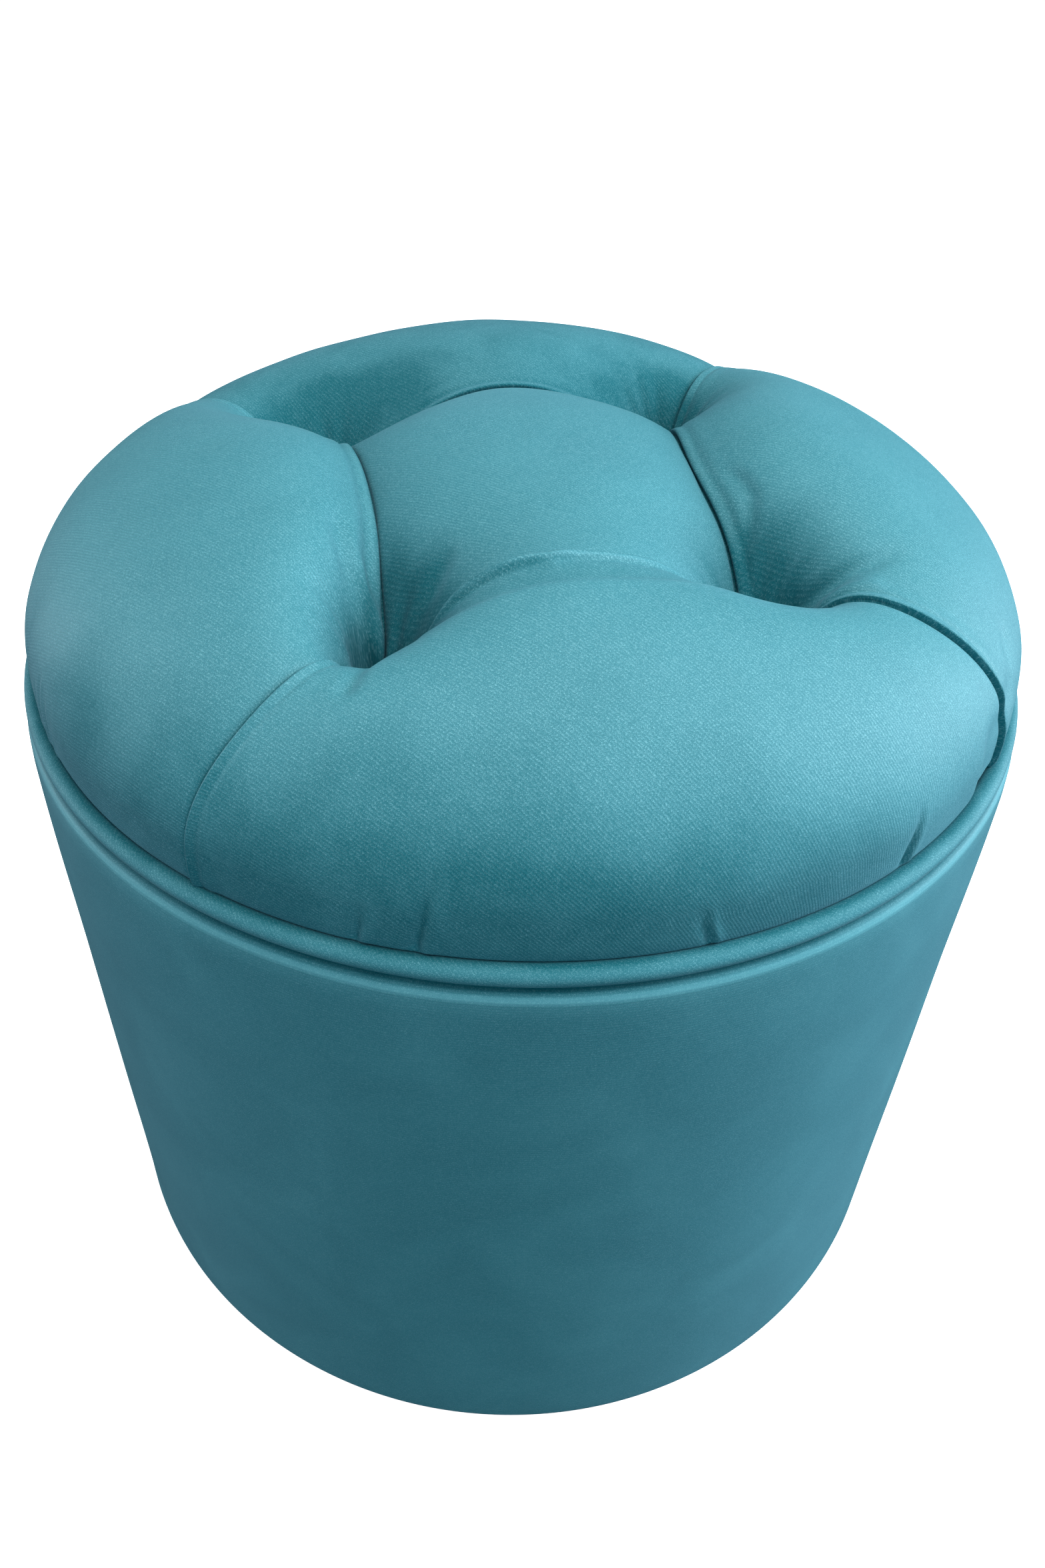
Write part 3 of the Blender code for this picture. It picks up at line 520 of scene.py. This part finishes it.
# Moulded polypropylene: dark brown and even, its skin finely sparked and a little worn.
spark_pit, worn_patch = 0.00033, 0.0045
plastic, shader = new_material("moulded_brown_polypropylene")
place = add(plastic, "TexCoord").outputs["Object"]
sparked = add(plastic, "TexNoise", {"Vector": place}, {"Scale": 1 / spark_pit, "Detail": 2})
worn = add(plastic, "TexNoise", {"Vector": place}, {"Scale": 1 / worn_patch, "Detail": 4})
colour = add(plastic, "ValToRGB", {0: worn.outputs[0]},
             stops=((0.4, "#3A2D23"), (0.75, "#54463A")))
gloss = add(plastic, "MapRange", {0: worn.outputs[0]}, {"To Min": 0.35, "To Max": 0.6})
skin = add(plastic, "Bump", {"Height": sparked.outputs[0]}, {"Distance": 0.00005})
feed(plastic, shader, colour=colour.outputs[0], roughness=gloss.outputs[0], normal=skin.outputs[0])
shader.inputs["IOR"].default_value = 1.49
dress(plastic, "tuft_disc", "glide")

# Seat

# One round of velvet over wadding and foam, drawn down deep at four buttons. The spare cloth
# between the buttons is folded into pleats, each laid over its neighbour and left unsewn.
seat_velvet = velvet("teal_cut_pile_velvet", 0.05, 0.07, 0.42, 0.15, 0.035)

# The buttons are taken anticlockwise from the back right one and counted from 0, so 1 is the back
# left one and 2 the front left. Each holds the cloth a hair below it, on the floor of its pocket.
button_boxes = [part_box(f"tuft_button_{n}") for n in (1, 2, 3, 4)]
buttons = np.array([((low + high) / 2).xy for low, high in button_boxes])
button_low, button_high = button_boxes[0]
button_radius = (button_high.x - button_low.x) / 2
pocket_floor = button_low.z - 0.0003
pocket_radius, pocket_wall = 0.0078, 0.0036

# A fold runs from each button to the next. Per fold: how far its middle stands aside, the height
# of its top, over what length it dives to the button at its start and at its end, and how wide
# the cloth is doubled under it.
fold_bows = np.array([2, 6, -8, 6]) / 1000
fold_tops = np.array([0.3790, 0.3711, 0.3900, 0.3675])
fold_dives = np.array([(34, 34), (18, 26), (23, 30), (24, 18)]) / 1000
underlap_widths = np.array([6, 7, 17, 5]) / 1000

# A pleat runs from each button out to the piping. Per pleat: where it meets the piping, how far it
# bows, how long its trough by the button is, how hard it pulls, and the side that laps over.
rim_angles = np.radians([57.5, 151.5, 238.4, 331.0])
pleat_bows = np.array([0, 4, 7, -4]) / 1000
pleat_lean = 0.7
pleat_troughs = np.array([1, 30, 24, 17]) / 1000
pleat_pulls = np.array([1.05, 0.80, 0.50, 0.35])
pleat_laps = (-1, 1, 1, 1)

# The stuffed dome before it is tufted: a superellipse that levels off at the crown
shoulder_radius, shoulder_height = 0.1946, 0.3216
dome_rise, dome_power = 0.0828, 2.05
crown_level, crown_ease = 0.3955, 0.002


def smooth(x):
    """0 below 0 and 1 above 1, smoothly between."""
    x = np.clip(x, 0, 1)
    return x * x * (3 - 2 * x)


def crown(radius):
    """Height of the seat without its tufts, at a distance from the axis."""
    share = np.clip(radius / shoulder_radius, 0, 1)
    dome = shoulder_height + dome_rise * (1 - share**dome_power) ** (1 / dome_power)
    return crown_level - crown_ease * np.log1p(np.exp((crown_level - dome) / crown_ease))


def bowed(start, end, bow, lean, steps):
    """Plan of a line that bows to the left of its way; a lean under 1 moves the bow to its start."""
    along = np.linspace(0, 1, steps)[:, None]
    aside = np.array([-(end - start)[1], (end - start)[0]])
    aside /= np.linalg.norm(aside)
    return start + (end - start) * along + aside * bow * np.sin(math.pi * along**lean)


def nearest(points, line):
    """Distance of each point to a line, its share of the line, and its side: 1 is to the left."""
    flat = points.reshape(-1, 2)
    distance = np.full(len(flat), np.inf)
    share = np.zeros(len(flat))
    side = np.zeros(len(flat))
    for i in range(len(line) - 1):
        a, b = line[i], line[i + 1]
        along = b - a
        t = np.clip(((flat - a) @ along) / (along @ along), 0, 1)
        gap = flat - (a + t[:, None] * along)
        d = np.hypot(gap[:, 0], gap[:, 1])
        better = d < distance
        distance[better] = d[better]
        share[better] = ((i + t) / (len(line) - 1))[better]
        side[better] = np.sign(along[0] * gap[:, 1] - along[1] * gap[:, 0])[better]
    shape = points.shape[:-1]
    return distance.reshape(shape), share.reshape(shape), side.reshape(shape)


fold_steps, pleat_steps = 160, 120
rim_ends = shoulder_radius * np.stack((np.cos(rim_angles), np.sin(rim_angles)), -1)
folds = [bowed(buttons[n], buttons[(n + 1) % 4], fold_bows[n], 1, fold_steps) for n in range(4)]
fold_lengths = np.linalg.norm(np.roll(buttons, -1, 0) - buttons, axis=1)
pleats = [bowed(buttons[n], rim_ends[n], pleat_bows[n], pleat_lean, pleat_steps)
          for n in range(4)]

# Where the cloth is gathered along the seam: each gather's direction from the seat's middle, at
# the seam and at its top, in degrees, then its height, depth and width in mm.
gathers = np.array([
    (-104.3, -103.1, 20, 1.5, 2.2), (-98.7, -97.0, 34, 1.8, 3.0), (-71.6, -73.6, 20, 1.6, 1.8),
    (-49.3, -48.1, 26, 1.6, 2.4), (-147.0, -147.6, 26, 0.8, 1.8), (-149.6, -149.9, 30, 0.9, 1.8),
    (-152.2, -152.0, 24, 0.8, 1.8), (8.0, 9.5, 22, 1.3, 2.2), (31.0, 30.0, 28, 1.4, 2.8),
    (79.0, 80.5, 20, 1.5, 2.0), (101.0, 99.6, 27, 1.3, 2.6), (122.5, 123.5, 21, 1.5, 2.0),
    (163.0, 161.8, 24, 1.2, 2.4), (184.0, 184.8, 30, 1.5, 2.9)])

# The plan is a grid: rings from the middle out to the square of folds and on to the rim, and
# spokes that crowd at the buttons and gathers, so folds and pleats lie along its lines. A lobe is
# the stuffed part outside a fold, and has the fold's number. The rings crowd at the folds and the
# rim; the two next to the middle are left out.
lobe_spokes = 200
rim_spans = np.append(rim_angles[1:], rim_angles[0] + 2 * math.pi) - rim_angles
lobe_shares = []
for n in range(4):
    places, widths, weights = [0, 1, 0, 1], [0.004, 0.004, 0.05, 0.05], [30, 30, 3, 3]
    for angle in np.radians(gathers[:, 0]):
        share = ((angle - rim_angles[n]) % (2 * math.pi)) / rim_spans[n]
        if share < 1:
            places.append(share)
            widths.append(0.012)
            weights.append(2)
    lobe_shares.append(crowded(lobe_spokes, places, widths, weights)[:-1])
fold_share = np.concatenate(lobe_shares)
lobe = np.repeat(range(4), lobe_spokes)
inner = crowded(36, (1, 1), (0.01, 0.12), (16, 2.5))[2:-1]
outer = crowded(76, (0, 0, 1), (0.008, 0.12, 0.03), (18, 2.0, 8))
fold_plan = np.array([[np.interp(t, np.linspace(0, 1, fold_steps), folds[n][:, axis])
                       for axis in (0, 1)] for n, t in zip(lobe, fold_share)])
rim_turn = rim_angles[lobe] + rim_spans[lobe] * fold_share
rim_cos, rim_sin = np.cos(rim_turn), np.sin(rim_turn)
outwards = shoulder_radius * np.stack((rim_cos, rim_sin), -1) - fold_plan
aside = np.stack((-outwards[:, 1], outwards[:, 0]), -1)
aside /= np.linalg.norm(aside, axis=1)[:, None]
bow = pleat_bows[(lobe + (fold_share > 0.5)) % 4]
bow = bow * bell(np.minimum(fold_share, 1 - fold_share) / 0.2)
rows = [fold_plan * g for g in inner]
rows += [fold_plan + outwards * v + aside * (bow * math.sin(math.pi * v**pleat_lean))[:, None]
         for v in outer]
plan = np.array(rows)
fold_row, shoulder_row = len(inner), len(rows)


def stretched(plan, depth, held, load, press, reach):
    """Depths of a cloth stretched over foam: held at some points of the grid, loaded at others.

    The tension of the cloth spreads each pull, and the foam's push ends it within a reach, which
    is shorter where the lobe is stuffed harder. Each cell of the grid is two triangles, parted by
    a slanting edge. The depths at which all forces balance are found by conjugate gradients.
    """
    here, beside = plan[:-1], np.roll(plan[:-1], -1, 1)
    below, across = plan[1:], np.roll(plan[1:], -1, 1)

    def double_area(a, b, c):
        """Twice the area of each triangle."""
        a, b = a - c, b - c
        return np.abs(a[..., 0] * b[..., 1] - a[..., 1] * b[..., 0])

    def opposite(tip, a, b):
        """The share of the tension in the edge from a to b that the corner at tip gives it."""
        return ((a - tip) * (b - tip)).sum(-1) / np.maximum(2 * double_area(a, b, tip), 1e-15)

    down = opposite(across, here, below) + np.roll(opposite(here, beside, across), 1, 1)
    slant = opposite(below, here, across) + opposite(beside, here, across)
    along = np.zeros(plan.shape[:2])
    along[1:] += opposite(here, below, across)
    along[:-1] += opposite(across, here, beside)
    # Each corner stands for a third of its triangles.
    left, right = double_area(here, below, across) / 6, double_area(here, beside, across) / 6
    area = np.zeros(plan.shape[:2])
    area[:-1] += left + right + np.roll(right, 1, 1)
    area[1:] += left + np.roll(left + right, 1, 1)
    push = area / reach**2

    def pull(u):
        """What the tension and the foam do to depths u."""
        out = push * u
        force = along * (np.roll(u, -1, 1) - u)
        out += np.roll(force, 1, 1) - force
        force = down * (u[1:] - u[:-1])
        out[:-1] -= force
        out[1:] += force
        force = slant * (np.roll(u[1:], -1, 1) - u[:-1])
        out[:-1] -= force
        out[1:] += np.roll(force, 1, 1)
        return out

    scale = push + along + np.roll(along, 1, 1)
    scale[:-1] += down + slant
    scale[1:] += down + np.roll(slant, 1, 1)
    free = ~held
    u = np.where(held, depth, 0.0)
    rest = (load + press * area - pull(u)) * free
    step = rest / scale
    way = step.copy()
    size = (rest * step).sum()
    settled = 1e-10 * size
    for n in range(6000):
        moved = pull(way) * free
        t = size / (way * moved).sum()
        u += t * way
        rest -= t * moved
        step = rest / scale
        new_size = (rest * step).sum()
        if new_size < settled:
            break
        way = step + way * (new_size / size)
        size = new_size
    print("cloth settled after", n, "steps")
    return u


# The folds and the buttons hold the cloth down, and the rim holds it up.
untufted = crown(np.hypot(plan[..., 0], plan[..., 1]))
from_start = fold_share * fold_lengths[lobe] / fold_dives[lobe, 0]
from_end = (1 - fold_share) * fold_lengths[lobe] / fold_dives[lobe, 1]
rise = (1 - np.exp(-from_start**1.5)) * (1 - np.exp(-from_end**1.5))
depth = np.zeros(untufted.shape)
held = np.zeros(untufted.shape, bool)
depth[fold_row] = untufted[fold_row] - pocket_floor - (fold_tops[lobe] - pocket_floor) * rise
held[fold_row] = True
for spot in buttons:
    near = np.linalg.norm(plan - spot, axis=-1) < button_radius
    depth[near] = untufted[near] - pocket_floor
    held |= near
held[-1] = True

# Each pleat pulls along its line, less towards the rim. By its button it lies in a trough, which
# starts above the pocket's floor and rises outwards.
trough_start, trough_rise = 0.002, 0.013
pull_lost = 0.3
load = np.zeros(untufted.shape)
spans = np.linalg.norm(np.diff(plan[fold_row:], axis=0), axis=-1)
for spoke in np.flatnonzero(fold_share == 0):
    n = lobe[spoke]
    stretch = np.zeros(len(outer))
    stretch[:-1] += spans[:, spoke] / 2
    stretch[1:] += spans[:, spoke] / 2
    load[fold_row:, spoke] += pleat_pulls[n] * stretch * (1 - pull_lost * outer)
    gone = np.linalg.norm(plan[:, spoke] - buttons[n], axis=-1) / pleat_troughs[n]
    trough = (gone < 1) & (np.arange(shoulder_row) >= fold_row) & ~held[:, spoke]
    bottom = pocket_floor + trough_start + trough_rise * gone**2
    depth[trough, spoke] = (untufted[:, spoke] - bottom)[trough]
    held[trough, spoke] = True

# How far the foam lets a pull reach. The stuffing is firmer towards the rim, softest beside the
# back left button, and firmest on the left lobe beside the front left one. The left lobe is
# pressed in a little, to the left of the back left button.
middle_reach = 0.026
lobe_reaches = np.array([28, 17, 18, 24]) / 1000
rim_firmness = 0.4
soft_radius, softness = 0.034, 1.2
firm_radius, firmness = 0.035, 0.45
press_place, press_radius, press_load = (-0.104, 0.052), 0.012, 90
outward = np.concatenate((np.zeros(fold_row), outer))[:, None]
in_lobe = outward > 0
soft = softness * bell(np.linalg.norm(plan - buttons[1], axis=-1) / soft_radius)
firm = firmness * bell(np.linalg.norm(plan - buttons[2], axis=-1) / firm_radius) * (lobe == 1)
lobe_reach = lobe_reaches[lobe] * (1 - rim_firmness * outward) * (1 + soft) * (1 - firm)
foam_reach = np.where(in_lobe, lobe_reach, middle_reach)
press = press_load * bell(np.linalg.norm(plan - press_place, axis=-1) / press_radius)
height = untufted - stretched(plan, depth, held, load, press, foam_reach)

# Each button presses a flat-bottomed pocket with a steep wall.
for spot in buttons:
    gap = np.linalg.norm(plan - spot, axis=-1)
    wall = smooth((gap - pocket_radius) / pocket_wall)
    height = np.where(wall < 1, pocket_floor + (height - pocket_floor) * wall, height)
surface = np.concatenate((plan, height[..., None]), -1)

# Below the shoulder the cloth drops straight, then rolls in to the seam beside the piping.
roll_start, roll_drop, roll_inset = 0.3164, 0.00745, 0.00192
roll_in = [(shoulder_radius, z) for z in (0.3205, 0.3192, 0.3178)]
roll_in += [(shoulder_radius - roll_inset * (1 - math.cos(a)), roll_start - roll_drop * math.sin(a))
            for a in np.radians(np.linspace(0, 83.4, 9))]
seam_edge = roll_in[-1][1]
lower = [np.stack((r * rim_cos, r * rim_sin, np.full(len(lobe), z)), -1) for r, z in roll_in]
surface = np.concatenate((surface, np.array(lower)))
flat = surface[..., :2]
distance_out = np.hypot(flat[..., 0], flat[..., 1])
angle = np.degrees(np.arctan2(flat[..., 1], flat[..., 0]))
above_seam = surface[..., 2] - seam_edge


def grid_normals(points):
    """Unit normals of a grid that is closed along its rows."""
    around = np.roll(points, -1, 1) - np.roll(points, 1, 1)
    outward = np.empty_like(points)
    outward[1:-1] = points[2:] - points[:-2]
    outward[0] = points[1] - points[0]
    outward[-1] = points[-1] - points[-2]
    normal = np.cross(outward, around)
    return normal / np.maximum(np.linalg.norm(normal, axis=-1, keepdims=True), 1e-12)


def rough(scale, lift=0.0):
    """Soft unevenness at each point of the seat, from -1 to 1; scale is its bumps to a metre."""
    return np.array([[noise.noise(Vector((x * scale, y * scale, z * scale + lift)))
                      for x, y, z in row] for row in surface])


# A fold or pleat is a groove, a rounded lip and a soft ridge where the cloth under it ends. The
# section is given in mm, as heights at distances from the fold. Painted shade darkens the groove
# and the doubled cloth, and a painted highlight lightens the lip beside it.
lip_places = np.array([-2.5, -1.2, -0.5, -0.15, 0.15, 0.5, 1.0, 2.4, 3.7, 5.3, 7.4, 10]) / 1000
lip_heights = np.array([0, -0.3, -1.0, -1.0, 0.5, 1.3, 1.5, 1.0, 0.3, 0.5, 0.3, 0]) / 1000
fold_lip, pleat_lip = 1.3, 1.1
underlap_sink = 0.056
relief = np.zeros(flat.shape[:2])
shade_and_highlight_paint = np.zeros(flat.shape[:2])
for n in range(4):
    d, share, side = nearest(flat, folds[n])
    to_end = np.minimum(share, 1 - share)
    beyond = -d * side
    relief += fold_lip * np.interp(beyond, lip_places, lip_heights) * smooth(to_end / 0.08)
    shade_and_highlight_paint += 0.8 * bell((beyond - 0.0001) / 0.0009) * smooth(to_end / 0.05)
    shade_and_highlight_paint -= 0.14 * bell((beyond - 0.0022) / 0.0008) * smooth(to_end / 0.1)
    underlap = smooth((beyond - 0.002) / 0.003) * smooth((underlap_widths[n] - beyond) / 0.004)
    underlap *= smooth(to_end / 0.15)
    shade_and_highlight_paint += 0.32 * underlap
    relief -= underlap_sink * underlap_widths[n] * underlap
    d, share, side = nearest(flat, pleats[n])
    lapped = d * side * pleat_laps[n]
    relief += pleat_lip * np.interp(lapped, lip_places, lip_heights) * smooth(share / 0.08)
    shade_and_highlight_paint += 0.5 * bell((d - 0.0001) / 0.0006) * smooth(share / 0.05)

# Creases and ridges where the cloth is drawn askew: a height and a half width in mm, and a path
# in plan, in mm from the seat's middle.
wrinkle_strength = 1.6
wrinkles = [
    (0.8, 2.0, [(-62, -40), (-60, -65), (-56, -74), (-52, -80), (-49, -88)]),
    (-0.8, 2.5, [(-67, -50), (-65, -66), (-61, -75), (-56, -84)]),
    (-1.2, 3.0, [(-44, -118), (-50, -131), (-52, -140), (-54.5, -146)]),
    (0.9, 2.5, [(20, -85), (8, -94), (-3, -94), (-14.5, -93.5), (-28, -98), (-38, -100)]),
    (-1.2, 4.0, [(88, -60), (96, -60), (107, -63), (120, -60), (136, -51)]),
    (0.8, 3.0, [(100, -68), (112, -70), (125, -72)]),
    (-1.0, 2.5, [(72, 9), (80, -8), (83, -18), (81.5, -32), (81, -43)]),
    (-0.8, 3.5, [(-25, -70), (-30, -78), (-34, -84)]),
    (-1.1, 2.6, [(176, -73), (171, -87), (167, -98), (161.6, -107), (157, -116)]),
    (0.6, 2.8, [(179, -77), (174, -91), (170, -102), (164, -112)]),
    (-0.6, 2.0, [(172, -62), (172.7, -77)])]
for tall, width, path in wrinkles:
    path = np.array(path) / 1000
    steps = np.linspace(0, len(path) - 1, 12 * len(path))
    line = np.stack([np.interp(steps, range(len(path)), path[:, axis]) for axis in (0, 1)], -1)
    d, share, side = nearest(flat, line)
    fade = smooth(np.minimum(share, 1 - share) / 0.25)
    relief += wrinkle_strength * tall / 1000 * bell(d / (width / 1000)) * fade

# A gather is a crease, steeper on one side, with a low ridge beside it, and painted shade darkens
# the crease. It fades towards its top.
for start, end, tall, deep, width in gathers:
    part_way = above_seam / (tall / 1000)
    line = start + (end - start) * part_way
    off = np.radians((angle - line + 180) % 360 - 180) * distance_out / (width / 1000)
    fade = (1 - np.clip(part_way, 0, 1) ** 1.6) * (distance_out > 0.15) * smooth(above_seam / 0.003)
    steep = np.where(off > 0, off / 0.35, off)
    relief += deep / 1000 * fade * (0.4 * bell((off - 1.3) / 0.7) - bell(steep))
    shade_and_highlight_paint += 0.45 * fade * bell((off - 0.1) / 0.22)

# Small puckers stand round each button. Painted shade darkens the walls of the pockets, less on the
# left lobe, and the foam below is never quite even.
pocket_shade_shares = (1.2, 1.15, 1.45, 0.7)
spared = 0.45
pocket_shade_start, pocket_shade_depth = 0.004, 0.042
pocket_shade_reach, pocket_shade_fade = 0.068, 0.055
puckers, pucker_depth, pucker_place, pucker_width = 11, 0.0004, 0.016, 0.008
foam_unevenness = 0.0007
on_left_lobe = (lobe == 1) & (np.arange(len(surface)) > fold_row)[:, None]
for n, spot in enumerate(buttons):
    gap = flat - spot
    away = np.hypot(gap[..., 0], gap[..., 1])
    turn = np.arctan2(gap[..., 1], gap[..., 0])
    waves = np.sin(puckers * turn + n * 2.1 + 1.5 * np.sin(3 * turn + n))
    sunk = crown(distance_out) - surface[..., 2]
    pocket_shade = smooth((sunk - pocket_shade_start) / pocket_shade_depth) * smooth((pocket_shade_reach - away) / pocket_shade_fade)
    pocket_shade *= pocket_shade_shares[n] * (1 + 0.2 * waves)
    shade_and_highlight_paint += pocket_shade * np.where(on_left_lobe, spared, 1)
    relief += pucker_depth * waves * bell((away - pucker_place) / pucker_width)
relief += foam_unevenness * rough(30) * smooth((above_seam - 0.002) / 0.02)
surface += grid_normals(surface) * relief[..., None]

# Painted shade: a slope that faces the front, away from a way that runs to the back, is darkened,
# unevenly. The whole back lobe is darkened, and so is a thin band at the seam against the piping.
unshaded_way = np.array((0.26, 0.96, 0))
front_shade_unevenness = 0.16
front_shade_start, front_shade_span, front_shade_share = 0.36, 0.54, 0.66
front_facing = front_shade_unevenness * rough(38, 5) - grid_normals(surface) @ unshaded_way
shade_and_highlight_paint += front_shade_share * smooth((front_facing - front_shade_start) / front_shade_span)
back_lobe_shade_share, seam_shade_share, seam_shade_height = 0.5, 0.35, 0.0025
shade_and_highlight_paint[fold_row:] += np.where(lobe == 0, back_lobe_shade_share, 0)
shade_and_highlight_paint += seam_shade_share * smooth((seam_shade_height - above_seam) / seam_shade_height)

# The places on the flat cloth run out from the middle along the crown. The ribs lie askew.
rib_slant = math.radians(38)
radii = np.linspace(0, shoulder_radius, 400)
lengths = np.concatenate(([0], np.cumsum(np.hypot(np.diff(radii), np.diff(crown(radii))))))
cloth_out = np.interp(distance_out, radii, lengths)
drop = shoulder_height - np.array([z for _, z in roll_in])
cloth_out[shoulder_row:] = (lengths[-1] + drop)[:, None]
turn = np.radians(angle) + rib_slant
cloth = np.stack((cloth_out * np.cos(turn), cloth_out * np.sin(turn)), -1)

# A last small ring closes the middle, and the flange runs in over the piping's.
hub_share = 0.02
middle = surface[:1].mean(axis=1, keepdims=True)
hub = middle + (surface[:1] - middle) * hub_share
flange = np.stack((flange_radius * rim_cos, flange_radius * rim_sin,
                   np.full(len(lobe), seam_height + flange_gap)), -1)
all_rows = np.concatenate((hub, surface, flange[None]))
cloth = np.concatenate((cloth[:1] * hub_share, cloth, cloth[-1:]))
cloth = np.concatenate((cloth, cloth[:, :1]), 1)
seat = grid_piece("tufted_seat", all_rows[::-1], seat_velvet, cloth[::-1], close_end=True)
paint_shade_and_highlight(seat, np.concatenate((shade_and_highlight_paint[:1], shade_and_highlight_paint, shade_and_highlight_paint[-1:]))[::-1])
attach(seat, "root")
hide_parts("seat_cover", "seat_wadding", "seat_foam")

# Dust cover

# A round of black spunbonded cloth, its edge turned in, stapled taut over the open bottom and
# the band's turned-in edge. The glides are screwed on through it.
lowest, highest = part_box("dust_cover")
cover_radius = highest.x

# Spunbonded polypropylene: fine black fibres, matt, in a close grid of melted bond dots.
bond_pitch, web_pitch = 0.0016, 0.0011
spunbond, shader = new_material("black_spunbonded_polypropylene")
place = add(spunbond, "TexCoord").outputs["Object"]
bonds = add(spunbond, "TexVoronoi", {"Vector": place},
            {"Scale": 1 / bond_pitch, "Randomness": 0.15})
dots = add(spunbond, "MapRange", {0: bonds.outputs["Distance"]},
           {"From Min": 0.15, "From Max": 0.4})
web = add(spunbond, "TexNoise", {"Vector": place},
          {"Scale": 1 / web_pitch, "Detail": 6, "Distortion": 3})
fluff = add(spunbond, "Math", {0: dots.outputs[0], 1: web.outputs[0]}, operation="MULTIPLY")
colour = add(spunbond, "ValToRGB", {0: fluff.outputs[0]},
             stops=((0.1, "#0E0E10"), (0.7, "#2B2B2D")))
embossed = add(spunbond, "Bump", {"Height": fluff.outputs[0]}, {"Distance": 0.0003})
feed(spunbond, shader, colour=colour.outputs[0], normal=embossed.outputs[0])
shader.inputs["Roughness"].default_value = 0.85
shader.inputs["Sheen Weight"].default_value = 0.1

# The cut edge is folded under by the hem, so the flat round is that much wider.
hem, edge_round = 0.008, 0.0004
inner_height, outer_height = highest.z - 0.0001, lowest.z + 0.0001
levels = [(cover_radius - hem, inner_height), (cover_radius - edge_round, inner_height),
          (cover_radius, (lowest.z + highest.z) / 2), (cover_radius - edge_round, outer_height)]
levels += [(r, outer_height) for r in np.linspace(cover_radius - 0.003, 0.0001, 62)]
turn = np.linspace(0, 2 * math.pi, 288, endpoint=False)
points, _ = turned(levels, turn)
# The cloth is drawn in small scallops between its staples.
staples = 36
points[..., :2] *= (1 - 0.002 * np.cos(turn * staples))[None, :, None]
out = np.hypot(points[4:, :, 0], points[4:, :, 1])
points[4:, :, 2] += 0.00015 * np.sin(turn * staples) * bell((cover_radius - out) / 0.02)
dust_cover = grid_piece("dust_cover_cloth", points[::-1], spunbond)
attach(dust_cover, "root")
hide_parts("dust_cover")

# Wire staples, driven by hand every few centimetres a little out of line. Each is a flattened
# wire: two legs that go in, and a crown that stands a little below the cloth.
staple_width, wire, wire_thickness = 0.010, 0.0007, 0.00049
leg, corner, staple_inset, staple_drop = 0.002, 0.0004, 0.0045, 0.0006
half = staple_width / 2
staple_line = [(-half, leg), (-half, corner), (corner - half, 0), (half - corner, 0),
               (half, corner), (half, leg)]
vertices, faces = [], []
for n in range(staples):
    stray = noise.noise(Vector((n * 0.73, 0.4, 0)))
    middle = 2 * math.pi * (n + 0.5 + 0.25 * stray) / staples
    slant = middle + math.pi / 2 + 0.3 * noise.noise(Vector((n * 0.51, 7.1, 0)))
    centre = np.array([math.cos(middle), math.sin(middle)])
    centre *= cover_radius - staple_inset + 0.001 * stray
    lengthways = np.array([math.cos(slant), math.sin(slant)])
    sideways = np.array([-lengthways[1], lengthways[0]])
    first = len(vertices)
    for x, z in staple_line:
        for y, inside in ((-1, 0), (1, 0), (1, 1), (-1, 1)):
            on_leg = abs(x) == half
            along = x - math.copysign(wire * inside * on_leg, x)
            spot = centre + lengthways * along + sideways * y * wire / 2
            lift = wire_thickness * inside * (not on_leg)
            vertices.append((*spot, lowest.z - staple_drop + z + lift))
    for i in range(len(staple_line) - 1):
        a, b = first + 4 * i, first + 4 * i + 4
        faces += [(a + k, a + (k + 1) % 4, b + (k + 1) % 4, b + k) for k in range(4)]
    faces += [(first + 3, first + 2, first + 1, first), tuple(b + k for k in range(4))]
mesh = bpy.data.meshes.new("staples")
mesh.from_pydata([tuple(float(c) for c in v) for v in vertices], [], faces)
staple_row = bpy.data.objects.new("staples", mesh)
bpy.context.scene.collection.objects.link(staple_row)
mesh.materials.append(zinc)
edges = staple_row.modifiers.new("drawn_edges", "BEVEL")
edges.width = 0.00012
edges.segments = 2
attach(staple_row, "root")
